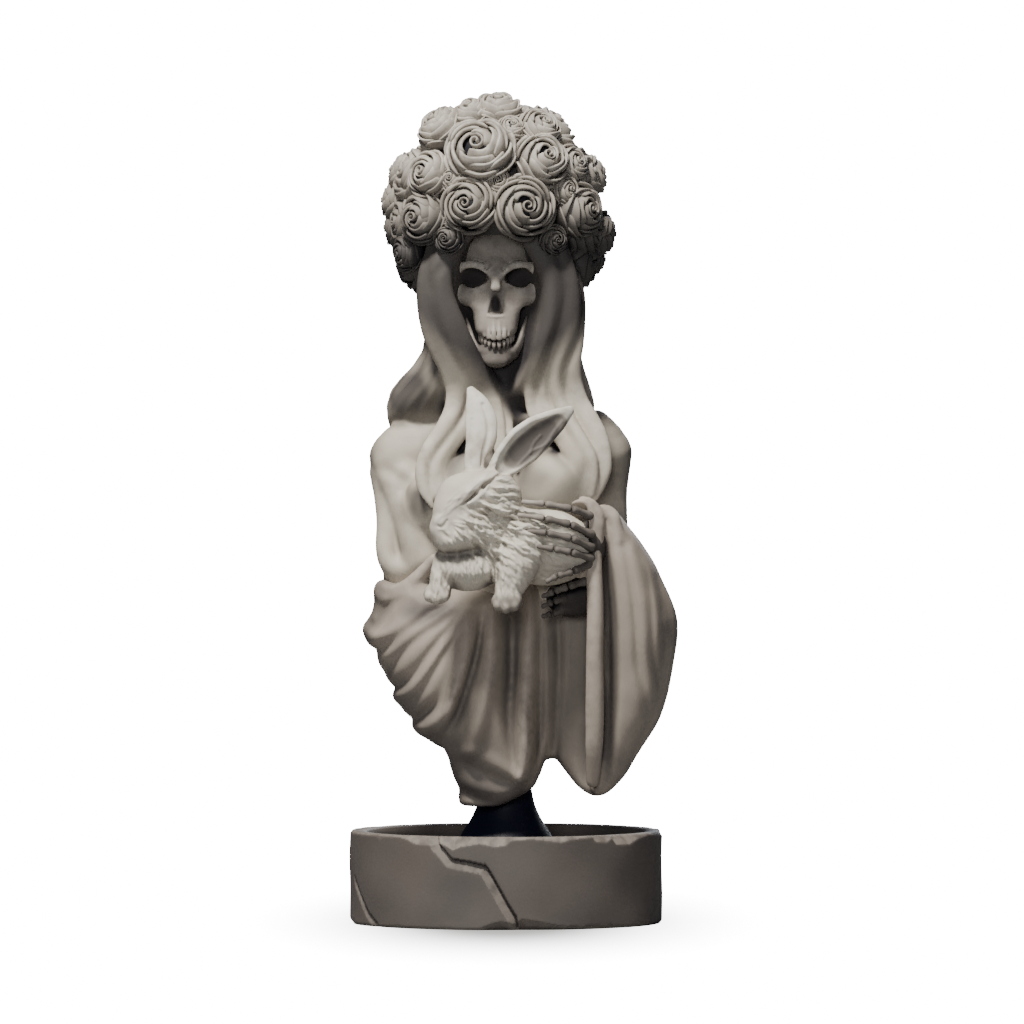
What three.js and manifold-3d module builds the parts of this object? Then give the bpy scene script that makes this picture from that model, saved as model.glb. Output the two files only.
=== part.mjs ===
// Skull bust: a long-haired skull under a crown of roses, draped in a shawl, with a rabbit in its hands.
// It stands on a flared post in a round stone-look tray. Millimetres, +Z up, the bust looks along -Y,
// and the origin is the middle of the tray's underside.
import * as THREE from 'three';
import { ParametricGeometry } from 'three/addons/geometries/ParametricGeometry.js';
import { mergeVertices } from 'three/addons/utils/BufferGeometryUtils.js';
import Module from 'manifold-3d';

const wasm = await Module();
wasm.setup();

// Driving dimensions
const TRAY = { radius: 47.1, height: 27.8, wall: 5.5, floor: 12, chamfer: 1.1, sides: 32 };
const POST = { gap: 0.3, discThick: 3, top: 56, sides: 20 };
const CROWN = { centre: [-2.6, 2, 208], radii: [28.4, 28.5, 36.4] };
const FACE_X = -2.8;
const SLIVER = 1.3;

// Directions that flat locks, folds and ears turn their broad side to
const FRONT = [0, -1, 0];
const BACK = [0, 1, 0];
const FRONT_LEFT = [-0.75, -0.65, 0];
const FRONT_RIGHT = [0.75, -0.65, 0];

// Shape helpers

const vector = (p) => new THREE.Vector3(...p);

// The value of a list of evenly spaced numbers at t, from 0 to 1.
function along(list, t) {
  if (typeof list === 'number') return list;
  const place = t * (list.length - 1);
  const i = Math.min(Math.floor(place), list.length - 2);
  return THREE.MathUtils.lerp(list[i], list[i + 1], place - i);
}

// A closed mesh as a solid: seams merged, empty triangles dropped and faces turned outwards.
function solidOf(geometry) {
  const bare = geometry.clone();
  bare.deleteAttribute('normal');
  bare.deleteAttribute('uv');
  const merged = mergeVertices(bare, 1e-4);
  const points = merged.attributes.position.array;
  const corner = (i) => new THREE.Vector3().fromArray(points, 3 * i);
  const faces = [];
  let volume = 0;
  for (let i = 0; i < merged.index.count; i += 3) {
    const [a, b, c] = merged.index.array.slice(i, i + 3);
    if (a === b || b === c || c === a) continue;
    faces.push([a, b, c]);
    volume += corner(a).dot(corner(b).cross(corner(c)));
  }
  const turned = volume < 0 ? faces.map(([a, b, c]) => [a, c, b]) : faces;
  return new wasm.Manifold(
    new wasm.Mesh({ numProp: 3, vertProperties: points, triVerts: new Uint32Array(turned.flat()) }),
  );
}

// A solid as a mesh with flat facets.
function meshOf(solid, name, material) {
  const { vertProperties, triVerts } = solid.getMesh();
  const geometry = new THREE.BufferGeometry();
  geometry.setAttribute('position', new THREE.BufferAttribute(new Float32Array(vertProperties), 3));
  geometry.setIndex(new THREE.BufferAttribute(new Uint32Array(triVerts), 1));
  geometry.computeVertexNormals();
  const mesh = new THREE.Mesh(geometry, material);
  mesh.name = name;
  return mesh;
}

const join = (solids) => wasm.Manifold.union(solids);

// Joins can leave loose flakes: the main body stays.
const largest = (solid) => solid.decompose().sort((a, b) => b.volume() - a.volume())[0];

// Joins and cuts leave slivers. This draws together the ends of each edge shorter than the limit,
// shortest first, where the surface stays closed and no facet turns over.
function meltShortEdges(solid, limit) {
  const { vertProperties, triVerts } = solid.getMesh();
  const points = Array.from({ length: vertProperties.length / 3 }, (_, i) =>
    new THREE.Vector3().fromArray(vertProperties, 3 * i));
  const faces = Array.from({ length: triVerts.length / 3 }, (_, i) =>
    [...triVerts.slice(3 * i, 3 * i + 3)]);
  const facesOf = points.map(() => new Set());
  faces.forEach((face, f) => face.forEach((v) => facesOf[v].add(f)));
  const neighbours = (v) => new Set([...facesOf[v]].flatMap((f) => faces[f]).filter((w) => w !== v));
  const normal = ([a, b, c]) => new THREE.Vector3()
    .crossVectors(b.clone().sub(a), c.clone().sub(a)).normalize();

  const turnsOver = (f, from, to, middle) => {
    const before = normal(faces[f].map((v) => points[v]));
    const after = normal(faces[f].map((v) => (v === from || v === to ? middle : points[v])));
    return before.dot(after) < 0.5;
  };
  const draw = (from, to) => {
    const near = neighbours(from);
    const shared = [...neighbours(to)].filter((v) => near.has(v));
    if (!near.has(to) || shared.length !== 2) return false;
    if (shared.some((v) => facesOf[v].size < 4)) return false;
    const middle = points[from].clone().lerp(points[to], 0.5);
    const gone = [...facesOf[from]].filter((f) => facesOf[to].has(f));
    const kept = [...new Set([...facesOf[from], ...facesOf[to]])].filter((f) => !gone.includes(f));
    if (kept.some((f) => turnsOver(f, from, to, middle))) return false;
    gone.forEach((f) => faces[f].forEach((v) => facesOf[v].delete(f)));
    gone.forEach((f) => { faces[f] = null; });
    facesOf[from].forEach((f) => {
      faces[f] = faces[f].map((v) => (v === from ? to : v));
      facesOf[to].add(f);
    });
    facesOf[from].clear();
    points[to].copy(middle);
    return true;
  };

  let drawn = true;
  while (drawn) {
    const edges = faces.flatMap((face) => (face ? face.map((v, i) => [v, face[(i + 1) % 3]]) : []))
      .filter(([a, b]) => a < b)
      .map(([a, b]) => ({ a, b, length: points[a].distanceTo(points[b]) }))
      .filter(({ length }) => length < limit)
      .sort((p, q) => p.length - q.length);
    drawn = edges.filter(({ a, b }) => facesOf[a].size && facesOf[b].size && draw(a, b)).length > 0;
  }
  const used = points.map((_, i) => i).filter((i) => facesOf[i].size);
  const place = new Map(used.map((v, i) => [v, i]));
  return new wasm.Manifold(new wasm.Mesh({
    numProp: 3,
    vertProperties: new Float32Array(used.flatMap((v) => points[v].toArray())),
    triVerts: new Uint32Array(faces.filter(Boolean).flat().map((v) => place.get(v))),
  }));
}

// An ellipsoid, turned about the Y axis by tilt degrees.
function blob(at, radii, tilt = 0, slices = 8, stacks = 6) {
  const geometry = new THREE.SphereGeometry(1, slices, stacks);
  geometry.scale(...radii);
  geometry.rotateY(THREE.MathUtils.degToRad(tilt));
  geometry.translate(...at);
  return solidOf(geometry);
}

// A closed body carried along a curve. Its section is an ellipse: width is the half-size across,
// depth the half-size towards the side that it faces.
function tube({ path, width, depth = width, facing = FRONT, sides = 5, steps = 4 }) {
  const curve = new THREE.CatmullRomCurve3(path.map(vector));
  const stacks = steps + 2;
  const place = (u, v, target) => {
    const ring = Math.round(v * stacks);
    const t = THREE.MathUtils.clamp((ring - 1) / steps, 0, 1);
    const tangent = curve.getTangent(t);
    curve.getPoint(t, target);
    if (ring === 0) return target.addScaledVector(tangent, -0.5 * along(depth, 0));
    if (ring === stacks) return target.addScaledVector(tangent, 0.5 * along(depth, 1));
    const across = new THREE.Vector3().crossVectors(tangent, vector(facing)).normalize();
    const out = new THREE.Vector3().crossVectors(across, tangent);
    const turn = 2 * Math.PI * (u % 1);
    target.addScaledVector(across, along(width, t) * Math.cos(turn));
    return target.addScaledVector(out, along(depth, t) * Math.sin(turn));
  };
  return solidOf(new ParametricGeometry(place, sides, stacks));
}

// A point of a level rounded section, moved out by some millimetres.
// A row of such a section is height, left, right, front and back.
function onSection([z, left, right, front, back], degrees, out, fullness) {
  const turn = THREE.MathUtils.degToRad(degrees);
  const swell = (c) => Math.sign(c) * Math.abs(c) ** fullness;
  return [
    (left + right) / 2 + ((right - left) / 2 + out) * swell(Math.cos(turn)),
    (front + back) / 2 + ((back - front) / 2 + out) * swell(Math.sin(turn)),
    z,
  ];
}

// A closed body through such sections, from the highest to the lowest.
function loft(rows, slices = 16, fullness = 0.85) {
  const stacks = rows.length + 1;
  const place = (u, v, target) => {
    const ring = Math.round(v * stacks);
    const [z, left, right, front, back] = rows[Math.min(Math.max(ring - 1, 0), rows.length - 1)];
    if (ring === 0 || ring === stacks) return target.set((left + right) / 2, (front + back) / 2, z);
    return target.set(...onSection([z, left, right, front, back], 360 * (u % 1), 0, fullness));
  };
  return solidOf(new ParametricGeometry(place, slices, stacks));
}

// A point on the skin of such a body at a turn, in degrees, and a height.
function onLoft(rows, degrees, z, out = 0, fullness = 0.85) {
  const next = rows.findIndex((row) => row[0] <= z);
  const i = next < 0 ? rows.length - 1 : Math.max(next, 1);
  const share = THREE.MathUtils.clamp((rows[i - 1][0] - z) / (rows[i - 1][0] - rows[i][0]), 0, 1);
  const row = rows[i].map((value, k) => THREE.MathUtils.lerp(rows[i - 1][k], value, share));
  return onSection([z, ...row.slice(1)], degrees, out, fullness);
}

// Tray: a dish with a flat underside, a chipped rim and cracks down its wall

// A chip takes the sharp edge off: it is deepest at its own angle and fades out over its span.
const RIM_CHIPS = [
  { at: -140, span: 18, depth: 1.6 },
  { at: -121, span: 14, depth: 2.4 },
  { at: -107, span: 12, depth: 4.2 },
  { at: -90, span: 15, depth: 3.4 },
  { at: -66, span: 20, depth: 1.6 },
  { at: -50, span: 10, depth: 2.6 },
  { at: 35, span: 22, depth: 2.2 },
  { at: 120, span: 26, depth: 2.8 },
];
const FOOT_CHIPS = [
  { at: -154, span: 16, depth: 3.4 },
  { at: -86, span: 20, depth: 2.6 },
  { at: 60, span: 22, depth: 2.2 },
];

function chipDepth(chips, degrees) {
  const fade = ({ at, span, depth }) => {
    const away = Math.abs(((degrees - at + 540) % 360) - 180);
    return depth * Math.max(0, 1 - away / span);
  };
  return Math.max(...chips.map(fade));
}

// A crack runs down the wall through these points, each an x and a height.
const CRACKS = [
  { points: [[-21.6, 28.5], [-17.4, 21.5], [-5.7, 18.6], [-1.8, 11.1], [3.0, 2.2]], size: 1.5 },
  { points: [[-45.6, 13.5], [-43.6, 8.5], [-41.4, 1.5]], size: 1.3 },
];

function trayShell() {
  const { radius, height, wall, floor, chamfer, sides } = TRAY;
  const profile = [
    [0, 0],
    [radius - chamfer, 0],
    [radius, chamfer],
    [radius, height - chamfer],
    [radius - chamfer, height],
    [radius - wall, height - 0.4],
    [radius - wall, floor],
    [0, floor],
  ];
  const geometry = new THREE.LatheGeometry(profile.map((p) => new THREE.Vector2(...p)), sides);
  geometry.rotateX(Math.PI / 2);
  const position = geometry.attributes.position;
  for (let i = 0; i < position.count; i++) {
    const [x, y, z] = [position.getX(i), position.getY(i), position.getZ(i)];
    const degrees = THREE.MathUtils.radToDeg(Math.atan2(y, x));
    const rim = chipDepth(RIM_CHIPS, degrees);
    const foot = chipDepth(FOOT_CHIPS, degrees);
    const row = i % profile.length;
    const inset = { 1: 0.35 * foot, 4: 0.45 * rim }[row] ?? 0;
    const lift = { 2: foot, 3: -rim, 4: -0.12 * rim }[row] ?? 0;
    const shrink = 1 - inset / radius;
    position.setXYZ(i, x * shrink, y * shrink, z + lift);
  }
  return solidOf(geometry);
}

function trayCrack({ points, size }) {
  const onWall = ([x, z]) => [x, -Math.sqrt(TRAY.radius ** 2 - x ** 2), z];
  const legs = points.slice(1).map((p, i) => {
    const path = [onWall(points[i]), onWall(p)];
    const facing = [path[0][0], path[0][1], 0];
    return tube({ path, width: size, facing, sides: 4, steps: 1 });
  });
  return join(legs);
}

// Post: a disc that lies in the tray, and the flared stem that carries the bust

const POST_FLARE = [
  [24, 15.6], [17.5, 20], [13.2, 27], [10.2, 32], [8.3, 37], [7.2, 45], [6.6, 56],
];

function postSolid(grow = 0) {
  const foot = TRAY.floor + POST.gap;
  const rim = TRAY.radius - TRAY.wall - POST.gap;
  const disc = [[0, foot], [rim, foot], [rim, foot + POST.discThick]];
  const flare = POST_FLARE.map(([r, z]) => [r + grow, z]);
  const profile = [...disc, ...flare, [0, POST.top + grow]].map((p) => new THREE.Vector2(...p));
  profile[profile.length - 2].y += grow;
  const geometry = new THREE.LatheGeometry(profile, POST.sides);
  geometry.rotateX(Math.PI / 2);
  return solidOf(geometry);
}

// Skull: brow, cheekbones, jaws and teeth, with open sockets and nose

const FACE_ROWS = [
  [207, 12.4, -14.5], [201, 12.9, -17.4], [197.6, 12.2, -19], [194.6, 11.2, -17.4], [191, 11.8, -16.6],
  [187.6, 9.2, -17], [184, 6.9, -17.4], [179.6, 6.4, -18.6], [176.6, 5.6, -18.2],
];

function skull() {
  const sides = [-1, 1];
  const at = (dx, y, z) => [FACE_X + dx, y, z];
  const faceRow = ([z, half, front]) => [z, FACE_X - half, FACE_X + half, front, 10];
  const face = loft(FACE_ROWS.map(faceRow), 16, 0.8);
  const bone = join([
    face,
    ...sides.map((s) => tube({
      path: [at(s * 1.6, -18, 196), at(s * 6.4, -18, 199), at(s * 11.6, -14, 197.6)],
      width: [1.3, 1.7, 1.5], depth: [1.8, 2.2, 1.6], steps: 2,
    })),
    ...sides.map((s) => tube({
      path: [
        at(s * 3.2, -16.6, 187), at(s * 7.6, -17, 188.6), at(s * 11.8, -13.6, 189), at(s * 13.2, -6, 190.6),
      ],
      width: [1.8, 2.4, 2.2, 1.5], steps: 3,
    })),
    tube({ path: [at(0, -18.6, 195), at(0, -20.2, 190.6)], width: [1.7, 1.6], steps: 1 }),
    ...[177.6, 173.4].map((z) => tube({
      path: [at(-6.2, -13.5, z), at(-3.8, -18.4, z - 0.4), at(3.8, -18.4, z - 0.4), at(6.2, -13.5, z)],
      width: 1.3, depth: 1.8, facing: [0, 0, 1], sides: 4, steps: 4,
    })),
    tube({
      path: [
        at(-12.2, -4, 189), at(-10.6, -7.5, 176.5), at(-6.4, -14, 170.4), at(0, -17.6, 168.8),
        at(6.4, -14, 170.4), at(10.6, -7.5, 176.5), at(12.2, -4, 189),
      ],
      width: [1.7, 2, 2.3, 2.6, 2.3, 2, 1.7], depth: [2.4, 2.6, 2.8, 3, 2.8, 2.6, 2.4], steps: 7,
    }),
  ]);
  const hollows = join([
    ...sides.map((s) => blob(at(s * 6.8, -20, 193.9), [4.6, 8, 3.3], s * 10, 9, 5)),
    blob(at(-1.2, -21, 186.2), [1.7, 6, 3.7], 14, 6, 4),
    blob(at(1.2, -21, 186.2), [1.7, 6, 3.7], -14, 6, 4),
  ]);
  return bone.subtract(hollows);
}

// Hair: a mass over the head and the back, with locks that frame the face

const HAIR_FULLNESS = 0.72;
const HAIR_ROWS = [
  [207, -21, 16, -21, 22],
  [196, -24.4, 21, -23, 25],
  [184, -23.8, 21.4, -23.4, 25.5],
  [174, -22.2, 20.4, -22.4, 25],
  [166, -25, 21, -20, 24.5],
  [158, -32.5, 24, -15, 24],
  [152, -37, 26.4, -10, 23],
  [146, -31, 23, -4, 22.5],
  [134, -25, 20, 2, 21.5],
  [118, -17, 15, 8, 20.5],
];

const HAIR_NICHE = {
  path: [[-2.8, -27, 208], [-2.8, -27, 188], [-2.4, -25, 170], [-0.5, -22, 154]],
  width: [12, 14.6, 12, 5], depth: [15, 19, 16.5, 9], sides: 10, steps: 5,
};

const FRONT_LOCKS = [
  { path: [[-10.5, -20, 207], [-17.2, -21.4, 198], [-19.3, -21.6, 187], [-16.6, -21, 174],
    [-11, -19.4, 163], [-6.5, -18, 153]], width: [3, 3.6, 3.4, 3.4, 3, 2], depth: [2.4, 2.8, 3, 3, 2.6, 1.8] },
  { path: [[-19.5, -15, 205], [-23, -15, 191], [-21, -16, 177], [-16.4, -16.4, 164], [-17, -17, 152],
    [-23, -19, 142], [-27.6, -20, 133], [-25.8, -21, 125.6]], width: [3, 3.4, 3.2, 3.4, 3.8, 4, 3, 1.2],
    depth: 2.8, facing: FRONT, steps: 7 },
  { path: [[-21.4, -9, 198], [-21, -10, 181], [-19.6, -11, 169], [-21.4, -11, 159], [-25, -10, 151]],
    width: [2.6, 3, 3, 3.4, 2.6], depth: 2.2, facing: FRONT_LEFT },
  { path: [[-22, -3, 190], [-20.6, -5, 177], [-23, -5, 166], [-29.6, -4.6, 158], [-35.6, -4, 152.4]],
    width: [2.6, 2.8, 3.2, 3.4, 2.4], depth: 2, facing: FRONT_LEFT },
  { path: [[6.5, -20, 207], [12, -21.4, 199], [14.2, -21.6, 188], [12, -20.6, 175], [8, -19, 164],
    [5.4, -17, 154], [3.6, -16, 147]], width: [3, 3.4, 3.2, 3, 2.4, 2.2, 1.4], depth: [2.4, 2.8, 3, 2.8, 2.4, 2, 1.6] },
  { path: [[12.6, -16, 204], [17.6, -16.4, 191], [17.4, -16, 178], [13, -16.4, 166], [10.2, -16, 156],
    [9.6, -16, 145]], width: [2.8, 3, 3, 2.8, 2.4, 1.6], depth: 2.6 },
  { path: [[17.6, -10, 197], [18.8, -11, 184], [17.6, -12.4, 171], [16, -14, 162], [20.4, -15.6, 151],
    [25.5, -16.6, 142], [27, -17.6, 134], [24.6, -17.6, 126]],
    width: [2.8, 2.8, 2.8, 3.2, 3.6, 3.6, 3, 1.2], depth: 2.6, facing: FRONT, steps: 7 },
  { path: [[19, -3, 190], [18.4, -4, 176], [19.4, -4.6, 164], [24, -3.6, 154]],
    width: [2.2, 2.4, 2.8, 1.8], depth: 1.8, facing: FRONT_RIGHT, steps: 4 },
];

// Locks down the back lie on the mass and sway, from just under the crown to its ragged lower edge.
const BACK_LOCKS = { count: 8, from: 14, to: 166, heights: [203, 186, 168, 150, 134, 122], sway: 5 };

function backLocks() {
  const { count, from, to, heights, sway } = BACK_LOCKS;
  return Array.from({ length: count }, (_, i) => {
    const turn = THREE.MathUtils.lerp(from, to, i / (count - 1));
    const outer = Math.abs(turn - 90) / 78;
    const path = heights.map((z, k) => {
      const swing = sway * Math.sin(2 * k + i * 2.2);
      return onLoft(HAIR_ROWS, turn + swing, z + 22 * outer * (k / 5) ** 2, -0.8, HAIR_FULLNESS);
    });
    const facing = onSection([0, -1, 1, -1, 1], turn, 0, 1);
    return tube({
      path, width: [3, 4.2, 4, 4.2, 3.4, 0.8], depth: [1.8, 2.4, 2.6, 2.6, 2, 0.8], facing, sides: 4, steps: 5,
    });
  });
}

// Crown: roses set close on a dome. The front ones have their own places, each an x, a height and a size.

const FRONT_ROSES = [
  [-2.1, 242.6, 7.8], [-11.6, 242.4, 6], [-19.6, 237.4, 7.6], [-8.2, 229.6, 10.4], [9.6, 236.4, 6.6],
  [10.8, 226.6, 9.2],
  [20, 228.2, 6.4], [24.4, 222, 6.8], [-22.8, 223.4, 8.2], [-29.4, 224, 7.6], [-12, 213.6, 8.6],
  [4.8, 213, 9.4], [-25.4, 209.6, 8.2], [-29.6, 205, 7.2], [20, 213, 8.6], [26, 206, 7.6],
];
const BACK_ROSE_ROWS = [
  { height: 198.5, count: 5, size: 8.2, from: 2, to: 178, reach: 0.86 },
  { height: 210, count: 4, size: 9.8, from: 20, to: 160, reach: 0.94 },
  { height: 224, count: 5, size: 9.2, from: 4, to: 176, reach: 0.86 },
  { height: 236.6, count: 3, size: 8.6, from: 24, to: 156, reach: 0.5 },
];

// Rings of a rose, each a reach and a rise as shares of its size. Those at the back are plainer.
const ROSE = {
  rings: [[0.24, 0.42], [0.4, 0.62], [0.58, 0.28], [0.8, 0.42], [1, -0.12]], sides: 8,
};
const PLAIN_ROSE = { rings: [[0.3, 0.36], [0.52, 0.54], [0.78, 0.3], [1, -0.16]], sides: 7 };

// A rose is a dome of wound petals: ring after ring, swelling and dipping, each turned on from the last.
function rose(at, size, turn, { rings, sides }) {
  const outward = vector(at).sub(vector(CROWN.centre)).multiply(vector([1, 1, 0.6])).normalize();
  const across = new THREE.Vector3(0, 0, 1).cross(outward);
  if (across.length() < 0.1) across.set(1, 0, 0);
  across.normalize();
  const up = new THREE.Vector3().crossVectors(outward, across);
  const stacks = rings.length + 1;
  const place = (u, v, target) => {
    const ring = Math.round(v * stacks);
    target.set(...at);
    if (ring === 0) return target.addScaledVector(outward, 0.6 * size);
    if (ring === stacks) return target.addScaledVector(outward, -size);
    const [reach, rise] = rings[ring - 1];
    const wound = ((u + 0.37 * ring) % 1) - 0.5;
    const angle = 2 * Math.PI * (u % 1) + turn;
    const r = size * reach * (1 + 0.2 * wound);
    target.addScaledVector(across, r * Math.cos(angle));
    target.addScaledVector(up, r * Math.sin(angle));
    return target.addScaledVector(outward, size * (rise - 0.14 * wound));
  };
  return solidOf(new ParametricGeometry(place, sides, stacks));
}

function crown() {
  const [cx, cy, cz] = CROWN.centre;
  const [rx, ry, rz] = CROWN.radii;
  const onFront = (x, z) => {
    const left = 1 - Math.abs((x - cx) / rx) ** 2.5 - Math.abs((z - cz) / rz) ** 2.5;
    return [x, cy - ry * Math.max(left, 0) ** 0.45, z];
  };
  const front = FRONT_ROSES.map(([x, z, size], i) => rose(onFront(x, z), size, i, ROSE));
  const back = BACK_ROSE_ROWS.flatMap(({ height, count, size, from, to, reach }, row) =>
    Array.from({ length: count }, (_, i) => {
      const step = count > 1 ? i / (count - 1) : 0;
      const turn = THREE.MathUtils.degToRad(THREE.MathUtils.lerp(from, to, step));
      const at = [cx + rx * reach * Math.cos(turn), cy + ry * reach * Math.sin(turn), height];
      return rose(at, size, 2 * row + i, PLAIN_ROSE);
    }));
  const core = loft([
    [203, -24, 19, -21, 24], [212, -27.6, 22, -24.6, 27], [224, -25.4, 20.4, -22.6, 25],
    [233, -18, 13.6, -16, 19], [240, -11.5, 7, -10, 13],
  ], 12);
  return join([core, ...front, ...back]);
}

// Body: neck, chest, shoulders and upper arms

const TORSO_ROWS = [
  [158, -12, 9, -8, 12],
  [151, -30, 28, -9, 14],
  [144, -33, 31, -11, 15],
  [134, -29, 28, -14, 16],
  [120, -27, 27, -16, 16],
  [108, -30, 33, -17, 17],
  [100, -34, 40, -18, 20],
  [88, -37, 45, -19, 22],
  [76, -34, 44, -19, 21],
  [62, -26, 38, -17, 17],
  [54, -18, 31, -15, 12],
  [50, -8, 26, -12, 6],
];

function body() {
  return join([
    loft(TORSO_ROWS),
    tube({ path: [[-2.4, -2, 178], [-1.6, -4, 164], [-1.2, -5, 150]], width: [5.5, 6, 8], steps: 3 }),
    blob([15.5, -13.5, 131], [12, 9.5, 11.5], 0, 9, 6),
    blob([-13.5, -13.5, 131], [11.5, 9.5, 11.5]),
    tube({ path: [[-29.6, 1, 149], [-31.8, 1.4, 141], [-32.6, 2, 129], [-31.8, 0, 114], [-31.6, -4, 98]],
      width: [5.6, 10.2, 8, 6.6, 6.6], depth: [6.4, 10.6, 9, 7.6, 7], sides: 8, steps: 5 }),
    tube({ path: [[-26, -7, 144], [-28.4, -9.5, 128], [-29, -10.5, 116], [-28.6, -12, 106]],
      width: [4, 3.6, 3.8, 4.4] }),
    tube({ path: [[26.6, 1.6, 148.6], [28.6, 2, 141], [28.8, 3, 129], [30.4, 1, 113], [32.4, -4, 100]],
      width: [5.4, 9.6, 7.6, 6.4, 6.6], depth: [6, 10, 8.4, 7.2, 7], sides: 8, steps: 5 }),
  ]);
}

// Shawl: two hanging masses, the folds that run down them, and swags across the back

const LEFT_CLOTH_ROWS = [
  [107, -37, -25, -14, 4],
  [103, -38.4, -6, -21, 10],
  [97, -39.4, 6, -24, 14],
  [88, -40.4, 8.6, -25.4, 16],
  [79, -38.2, 9.2, -26, 16],
  [67, -33.6, 9.6, -25.4, 13],
  [58, -27, 11, -24, 9],
  [52, -19, 12, -22, 5],
  [46, -15.5, 10.6, -21, 3],
  [40, -14.8, 6.6, -19, 1],
  [35, -14, -3, -16, -5],
];
const RIGHT_CLOTH_ROWS = [
  [125, 25, 33, -31, -20],
  [120, 24, 36.5, -33, -8],
  [112, 24, 40.6, -34, 3],
  [102, 23, 45.6, -34, 10],
  [91, 22, 48.8, -33, 14],
  [77, 21, 48, -32, 13],
  [66, 20, 45, -30, 10],
  [54, 16.8, 39.2, -27, 5],
  [46, 18, 34.4, -24, -2],
  [38.6, 22, 29, -21, -10],
];

const FRONT_FOLDS = [
  { path: [[-30, -17, 107], [-37, -13, 99], [-41, -6, 91], [-40.4, 3, 87], [-36, 12, 91]],
    width: [2, 3, 3.2, 3, 1.6] },
  { path: [[-9.6, -27.4, 98.6], [-22.2, -25.4, 93], [-32.4, -18, 86], [-37.6, -7, 80.4], [-36, 6, 81]],
    width: [1.8, 3.2, 3.8, 3.4, 1.6] },
  { path: [[-9, -28.4, 95], [-14.7, -28, 85.6], [-23, -24.6, 76.6], [-31.4, -15.6, 71], [-33.6, -2, 70]],
    width: [2, 3.2, 3.8, 3.6, 1.8] },
  { path: [[-6.9, -29, 95.6], [-11.7, -29, 77.7], [-18, -26.4, 65.6], [-26, -18, 60], [-27, -4, 59]],
    width: [2, 3, 3.6, 3.2, 1.4] },
  { path: [[-3, -30, 94], [-7.6, -29.6, 76.7], [-13, -26.6, 61], [-19, -19, 54], [-19, -8, 52.6]],
    width: [2, 2.8, 3.2, 2.8, 1.4] },
  { path: [[0, -30, 94.7], [-2, -29.8, 72], [-0.6, -27.6, 56], [3.6, -24.6, 46.4]],
    width: [1.8, 2.6, 2.8, 2] },
  { path: [[7.5, -28, 99], [7.8, -27, 76.7], [7.2, -24.4, 53], [4.2, -19.6, 39.8]],
    width: [2.2, 2.8, 2.8, 2] },
  { path: [[-15, -12, 47.6], [-10.8, -20.6, 49.3], [-2, -24.8, 48.4], [3.6, -25, 45.4]], width: 2.2 },
  { path: [[-14, -8, 35.6], [-9.8, -15, 35.8], [-2.7, -19, 38], [3.9, -20.6, 42.4]],
    width: [1.4, 2.2, 2.2, 1.8] },
  { path: [[11.6, -18.4, 97], [12.6, -18.4, 76], [12.6, -14.6, 51]], width: [2, 2.4, 1.8], steps: 2 },
  { path: [[16.6, -16.6, 95], [18, -17.4, 74], [17, -14, 51]], width: [1.6, 2, 1.6], steps: 2 },
];

// Folds that run down the right mass, each from its own turn and height, closing towards the tip.
const RIGHT_FOLDS = [
  [-160, 121, 2.6], [-124, 127, 3.4], [-86, 122, 3.6], [-56, 116, 3.8], [-24, 110, 4.2], [12, 106, 4.2],
  [50, 103, 4],
];
const RIGHT_TIP = 44;

function rightFolds() {
  return RIGHT_FOLDS.map(([turn, top, size]) => {
    const heights = [0, 0.18, 0.42, 0.7, 1].map((t) => THREE.MathUtils.lerp(top, RIGHT_TIP, t));
    const path = heights.map((z, k) => onLoft(RIGHT_CLOTH_ROWS, turn - 3 * k, z, -1));
    const facing = vector(path[2]).sub(vector([34, -10, path[2][2]])).toArray();
    const width = [0.7, 1, 1, 0.8, 0.4].map((share) => share * size);
    return tube({ path, width, depth: 0.8 * size, facing });
  });
}

// Swags lie on the back of the cloth, each from one arm to the other. The highest is its rolled edge.
const BACK_SWAGS = { count: 4, top: 112, step: 14.5, dip: 13, size: 3.8 };

function backSwags() {
  const { count, top, step, dip, size } = BACK_SWAGS;
  return Array.from({ length: count }, (_, i) => {
    const path = [8, 34, 62, 90, 118, 146, 172].map((turn) => {
      const sag = Math.sin(THREE.MathUtils.degToRad(turn)) ** 1.6;
      const lean = 3 * Math.cos(THREE.MathUtils.degToRad(turn));
      return onLoft(TORSO_ROWS, turn, top - step * i - dip * sag + lean, i ? 0.2 : 1);
    });
    return tube({ path, width: [2, size, size, size, 2], depth: 0.6 * size, facing: BACK, steps: 6 });
  });
}

function shawl() {
  return join([
    loft(LEFT_CLOTH_ROWS), loft(RIGHT_CLOTH_ROWS),
    ...FRONT_FOLDS.map((fold) => tube(fold)), ...rightFolds(), ...backSwags(),
  ]);
}

// Rabbit: head, body, paws and two long ears, the near one hollow towards the front

const NEAR_EAR = {
  path: [[-1.8, -36, 137], [3.2, -35, 143.5], [9, -33, 148.5], [14.4, -31, 151.6], [19.2, -28, 155]],
  facing: [0.15, -1, -0.1], sides: 6, steps: 5,
};
const FAR_EAR = {
  path: [[-8.1, -36, 137], [-8.4, -35, 143.4], [-7.2, -34, 149.4], [-8.7, -32, 156], [-11, -31, 161.4]],
  width: [2.6, 3.2, 4.9, 3.9, 0.8], depth: [1.9, 1.8, 1.6, 1.4, 0.6], sides: 6,
};

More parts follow.
